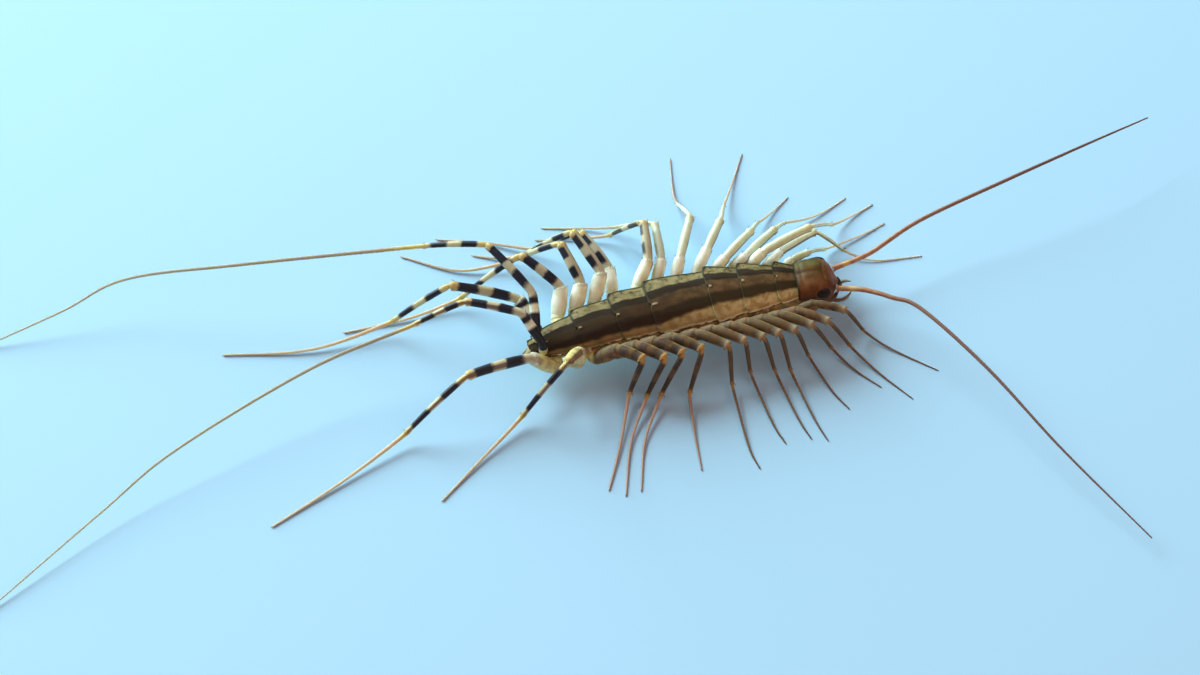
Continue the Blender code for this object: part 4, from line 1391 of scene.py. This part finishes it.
def leg_limb(side, number):
    """The whole leg as one limb: place 0 to 4 for its four upper parts, 4 to 5 for the foot."""
    inside, coxa, hip, knee, ankle = leg_joints(side, number)
    base, width, height, femur, shin, foot = (
        follow(sizes, number) for sizes in (COXA_RADIUS, THIGH_HALF_WIDTH, THIGH_HALF_HEIGHT,
                                            FEMUR_RADIUS, SHIN_RADIUS, FOOT_RADIUS))
    if (side, number) == FOLDED_LEG:
        femur = FOLDED_FEMUR_RADIUS
    elif side == "right" and number < FOLDED_LEG[1]:
        femur *= NEAR_FEMUR_SHARE
    limb = Limb()
    limb.part(inside, coxa, COXA_SHAPE, base, base, 0.0)
    limb.part(coxa, hip, THIGH_SHAPE, width, height, 1.0)
    limb.part(hip, knee, FEMUR_SHAPE, femur, femur, 2.0, LIMB_BOW)
    limb.part(knee, ankle, SHIN_SHAPE, shin, shin, 3.0, LIMB_BOW)
    points = [ankle]
    stretches = LEG_POSTURE[side][number - 1][3]
    for heading, reach in stretches:
        points.append(step(points[-1], heading, reach, SIDES[side], 0.0))
    length = sum(reach for heading, reach in stretches) + ankle.z * 0.4
    count = STEPS_A_RING * round(length / (LIMB_STEP * STEPS_A_RING))
    for index in range(count + 1):
        share = index / count
        spot = smooth_route(points, share)
        radius = foot * (1 - (1 - TOE_SHARE) * share ** 0.8)
        fall = (1 - share) if number == len(LEG_ROOT_X) else (1 - share) ** 3
        spot.z = radius + (ankle.z - radius) * fall
        limb.add(spot, radius, radius, FOOT_START + share, index / STEPS_A_RING, ease(0.0, 0.04, share))
    limb.round_joints()
    return limb


def leg_bristles(limb, spine, spur, chance):
    """Small spines in rows on the ridges, spurs round the joints and setae under the foot."""
    frames = limb.frames()
    spines, spurs = [], []
    last_place = 0.0
    for index in range(4, len(limb.points) - 2):
        place_on = limb.rows[index][2]
        if THIGH_HAIRS_FROM < place_on < FOOT_START and index % BRISTLE_STEPS == 0:
            for row in range(RIDGES):
                angle = row * 2 * math.pi / RIDGES + RIDGE_ANGLE + chance.uniform(-0.12, 0.12)
                size = spine * chance.uniform(*SPINE_SIZES)
                spines.append(limb.bristle(index, frames, angle, size, lean=0.55))
        if place_on >= FOOT_HAIRS_FROM and index % BRISTLE_STEPS == 0:
            for angle in (*SOLE_ANGLES, chance.uniform(0.3, 2.8)):
                size = spine * chance.uniform(*SOLE_SIZES)
                spines.append(limb.bristle(index, frames, angle, size, lean=0.5))
        for joint in SPUR_PLACES:
            if last_place < joint <= place_on:
                for angle in SPUR_ANGLES:
                    turned = angle + chance.uniform(-0.2, 0.2)
                    size = spur * chance.uniform(*SPUR_SIZES) * (1.0 if angle < 3 else 0.7)
                    spurs.append(limb.bristle(index, frames, turned, size, lean=0.75))
        last_place = place_on
    return spines, spurs


def leg_looks(side, number):
    """The values that colour one leg: how banded and how olive it is, and how much painted shade it carries.
    """
    last = number == len(LEG_ROOT_X)
    right = side == "right"
    return {"banding": ease(7.5, 9.5, number) * 0.85 + 0.15 * ease(3.0, 8.0, number),
            "band_edge": follow(BAND_EDGE, number),
            "dark_thigh": 1.0 if last or (side, number) == ("left", 14) else 0.0,
            "olive_end": OLIVE_END.get((side, number), 0.6 if last else 1.05),
            "grey_foot": 0.8 if last else 0.0,
            # The brown value and the foot value below it are painted shade, on the right (near) legs and
            # their front feet
            "brown": 0.95 if right and number <= LAST_SHADED_LEG else 0.0,
            "shaded_foot": 0.9 * ease(9.5, 8.0, number) if right else 0.0}


def turn_rearward(skin, sign):
    """Store how far each point of a leg faces the tail, whichever side the leg is on."""
    sideways = [0.0] * len(skin.data.vertices)
    skin.data.attributes["sideways"].data.foreach_get("value", sideways)
    write_attribute(skin.data, "rearward", [value * -sign for value in sideways])


class CENTIPEDE_OT_legs(bpy.types.Operator):
    """Build the fifteen pairs of legs with their ringed feet, spines, spurs and claws"""
    bl_idname = "centipede.legs"
    bl_label = "Legs"

    def execute(self, context):
        looks = context.scene.centipede_legs
        pale_finish = leg_material(looks, "leg_chitin")
        # A second, duller leg finish for the right (near) legs, whose colour carries painted shade
        shaded_leg_finish = leg_material(looks, "shaded_leg_chitin")
        brown = plain_material("bristle_brown")
        horn = plain_material("claw_horn")
        chance = random.Random(SEEDS["legs"])
        claws = []
        for side, sign in SIDES.items():
            spines, spurs = [], []
            for number in range(1, len(LEG_ROOT_X) + 1):
                limb = leg_limb(side, number)
                more_spines, more_spurs = leg_bristles(limb, looks.spine, looks.spur, chance)
                spines += more_spines
                spurs += more_spurs
                toe = limb.points[-1]
                ahead = (toe - limb.points[-3]).normalized()
                claws.append((toe - ahead * CLAW_SINK, (ahead + CLAW_DROOP).normalized(), CLAW_LENGTH))
                values = leg_looks(side, number)
                # Right (near) legs with painted shade take the second finish
                skin = limb.skin(f"leg_skin_{side}_{number:02d}", LIMB_SIDES, looks.groove,
                                 shaded_leg_finish if values["brown"] else pale_finish, **values)
                turn_rearward(skin, sign)
                settle(skin, "legs", f"leg_{side}_{number:02d}")
            settle(bristles("leg_spines", spines, brown, side), "legs")
            settle(bristles("leg_spurs", spurs, brown, side), "legs")
        settle(bristles("foot_claws", claws, horn), "legs")
        return {"FINISHED"}


class CENTIPEDE_OT_hairs(bpy.types.Operator):
    """Sow fine hairs over the back plates, the head and the flanks"""
    bl_idname = "centipede.hairs"
    bl_label = "Fine hairs"

    def execute(self, context):
        brown = plain_material("down_brown")
        tree = shared_tree("fine_hairs", down_tree)
        plates = [f"back_plate_{number}" for number in range(1, len(PLATE_REAR_X) + 1)]
        for name, grounds in (("plate_hairs", plates), ("head_hairs", ["head_capsule"]),
                              ("flank_hairs", ["body_skin"])):
            density, length = DOWN[name]
            pieces = [grow(f"{name}_{index}", bpy.data.objects[ground].data.copy(), tree,
                           {"Density": density, "Length": length, "Seed": index + SEEDS["down"],
                            "Material": brown})
                      for index, ground in enumerate(grounds)]
            settle(join(name, pieces), "plates")
        return {"FINISHED"}


# Stage

def area_light(name, place_at, aim, size, power, colour):
    """A soft light at a place, turned towards what it lights."""
    lamp = bpy.data.lights.new(name, "AREA")
    lamp.size = size
    lamp.energy = power
    lamp.color = colour
    thing = show(name, lamp)
    thing.location = place_at
    thing.rotation_euler = (Vector(aim) - Vector(place_at)).to_track_quat("-Z", "Y").to_euler()


def lay_floor(colour):
    """A plain pale floor."""
    half = FLOOR_HALF
    mesh = bpy.data.meshes.new("floor")
    mesh.from_pydata([(-half, -half, 0), (half, -half, 0), (half, half, 0), (-half, half, 0)], [],
                     [(0, 1, 2, 3)])
    paint = bpy.data.materials.new("floor_paint")
    paint.use_nodes = True
    shader = paint.node_tree.nodes["Principled BSDF"]
    shader.inputs["Base Color"].default_value = (*colour, 1.0)
    shader.inputs["Roughness"].default_value = 0.8
    shader.inputs["Specular IOR Level"].default_value = 0.2
    mesh.materials.append(paint)
    show("floor", mesh)


def set_camera(scene, aim):
    """The camera at the photograph's view of a point."""
    camera = bpy.data.cameras.new("camera")
    camera.lens = CAMERA_LENS
    camera.sensor_width = SENSOR_WIDTH
    camera.clip_start = 0.01
    viewer = show("camera", camera)
    rise, turn = math.radians(CAMERA_ELEVATION), math.radians(CAMERA_TURN)
    reach = CAMERA_DISTANCE * MM
    viewer.location = (aim[0] - reach * math.cos(rise) * math.sin(turn),
                       aim[1] - reach * math.cos(rise) * math.cos(turn), reach * math.sin(rise))
    viewer.rotation_euler = (math.pi / 2 - rise, 0.0, -turn)
    scene.camera = viewer


class CENTIPEDE_OT_stage(bpy.types.Operator):
    """Lay the pale floor and set the lights and the camera"""
    bl_idname = "centipede.stage"
    bl_label = "Stage"

    def execute(self, context):
        scene = context.scene
        looks = scene.centipede_stage
        lay_floor(looks.floor)
        scene.world = bpy.data.worlds.new("soft_sky")
        scene.world.use_nodes = True
        sky = scene.world.node_tree.nodes["Background"]
        sky.inputs["Color"].default_value = SKY_COLOUR
        sky.inputs["Strength"].default_value = looks.sky
        scene.view_settings.view_transform = "Standard"
        aim = (CAMERA_AIM[0] * MM, CAMERA_AIM[1] * MM, 0.0)
        area_light("key", KEY_PLACE, aim, KEY_SIZE, looks.key, KEY_COLOUR)
        area_light("fill", FILL_PLACE, aim, FILL_SIZE, looks.fill, FILL_COLOUR)
        set_camera(scene, aim)
        return {"FINISHED"}


BUILD_ORDER = (CENTIPEDE_OT_stage, CENTIPEDE_OT_trunk, CENTIPEDE_OT_head, CENTIPEDE_OT_eyes,
               CENTIPEDE_OT_feelers, CENTIPEDE_OT_mouthparts, CENTIPEDE_OT_legs, CENTIPEDE_OT_hairs)


class CENTIPEDE_PT_panel(bpy.types.Panel):
    """The pieces of the centipede, one button each"""
    bl_label = "House centipede"
    bl_idname = "CENTIPEDE_PT_panel"
    bl_space_type = "VIEW_3D"
    bl_region_type = "UI"
    bl_category = "Centipede"

    def draw(self, context):
        for operator in BUILD_ORDER:
            self.layout.operator(operator.bl_idname)


SETTINGS = {"centipede_plates": PlateSettings, "centipede_legs": LegSettings,
            "centipede_head": HeadSettings, "centipede_stage": StageSettings}

CLASSES = (*SETTINGS.values(), *BUILD_ORDER, CENTIPEDE_PT_panel)


def register():
    """Register every class and hang the settings on the scene."""
    for kind in CLASSES:
        bpy.utils.register_class(kind)
    for name, kind in SETTINGS.items():
        setattr(bpy.types.Scene, name, PointerProperty(type=kind))


def unregister():
    """Take the settings and the classes away again."""
    for name in SETTINGS:
        delattr(bpy.types.Scene, name)
    for kind in reversed(CLASSES):
        bpy.utils.unregister_class(kind)


def main():
    """Register the classes and build everything in order."""
    register()
    for operator in BUILD_ORDER:
        group, name = operator.bl_idname.split(".")
        getattr(getattr(bpy.ops, group), name)()


if __name__ == "__main__":
    main()
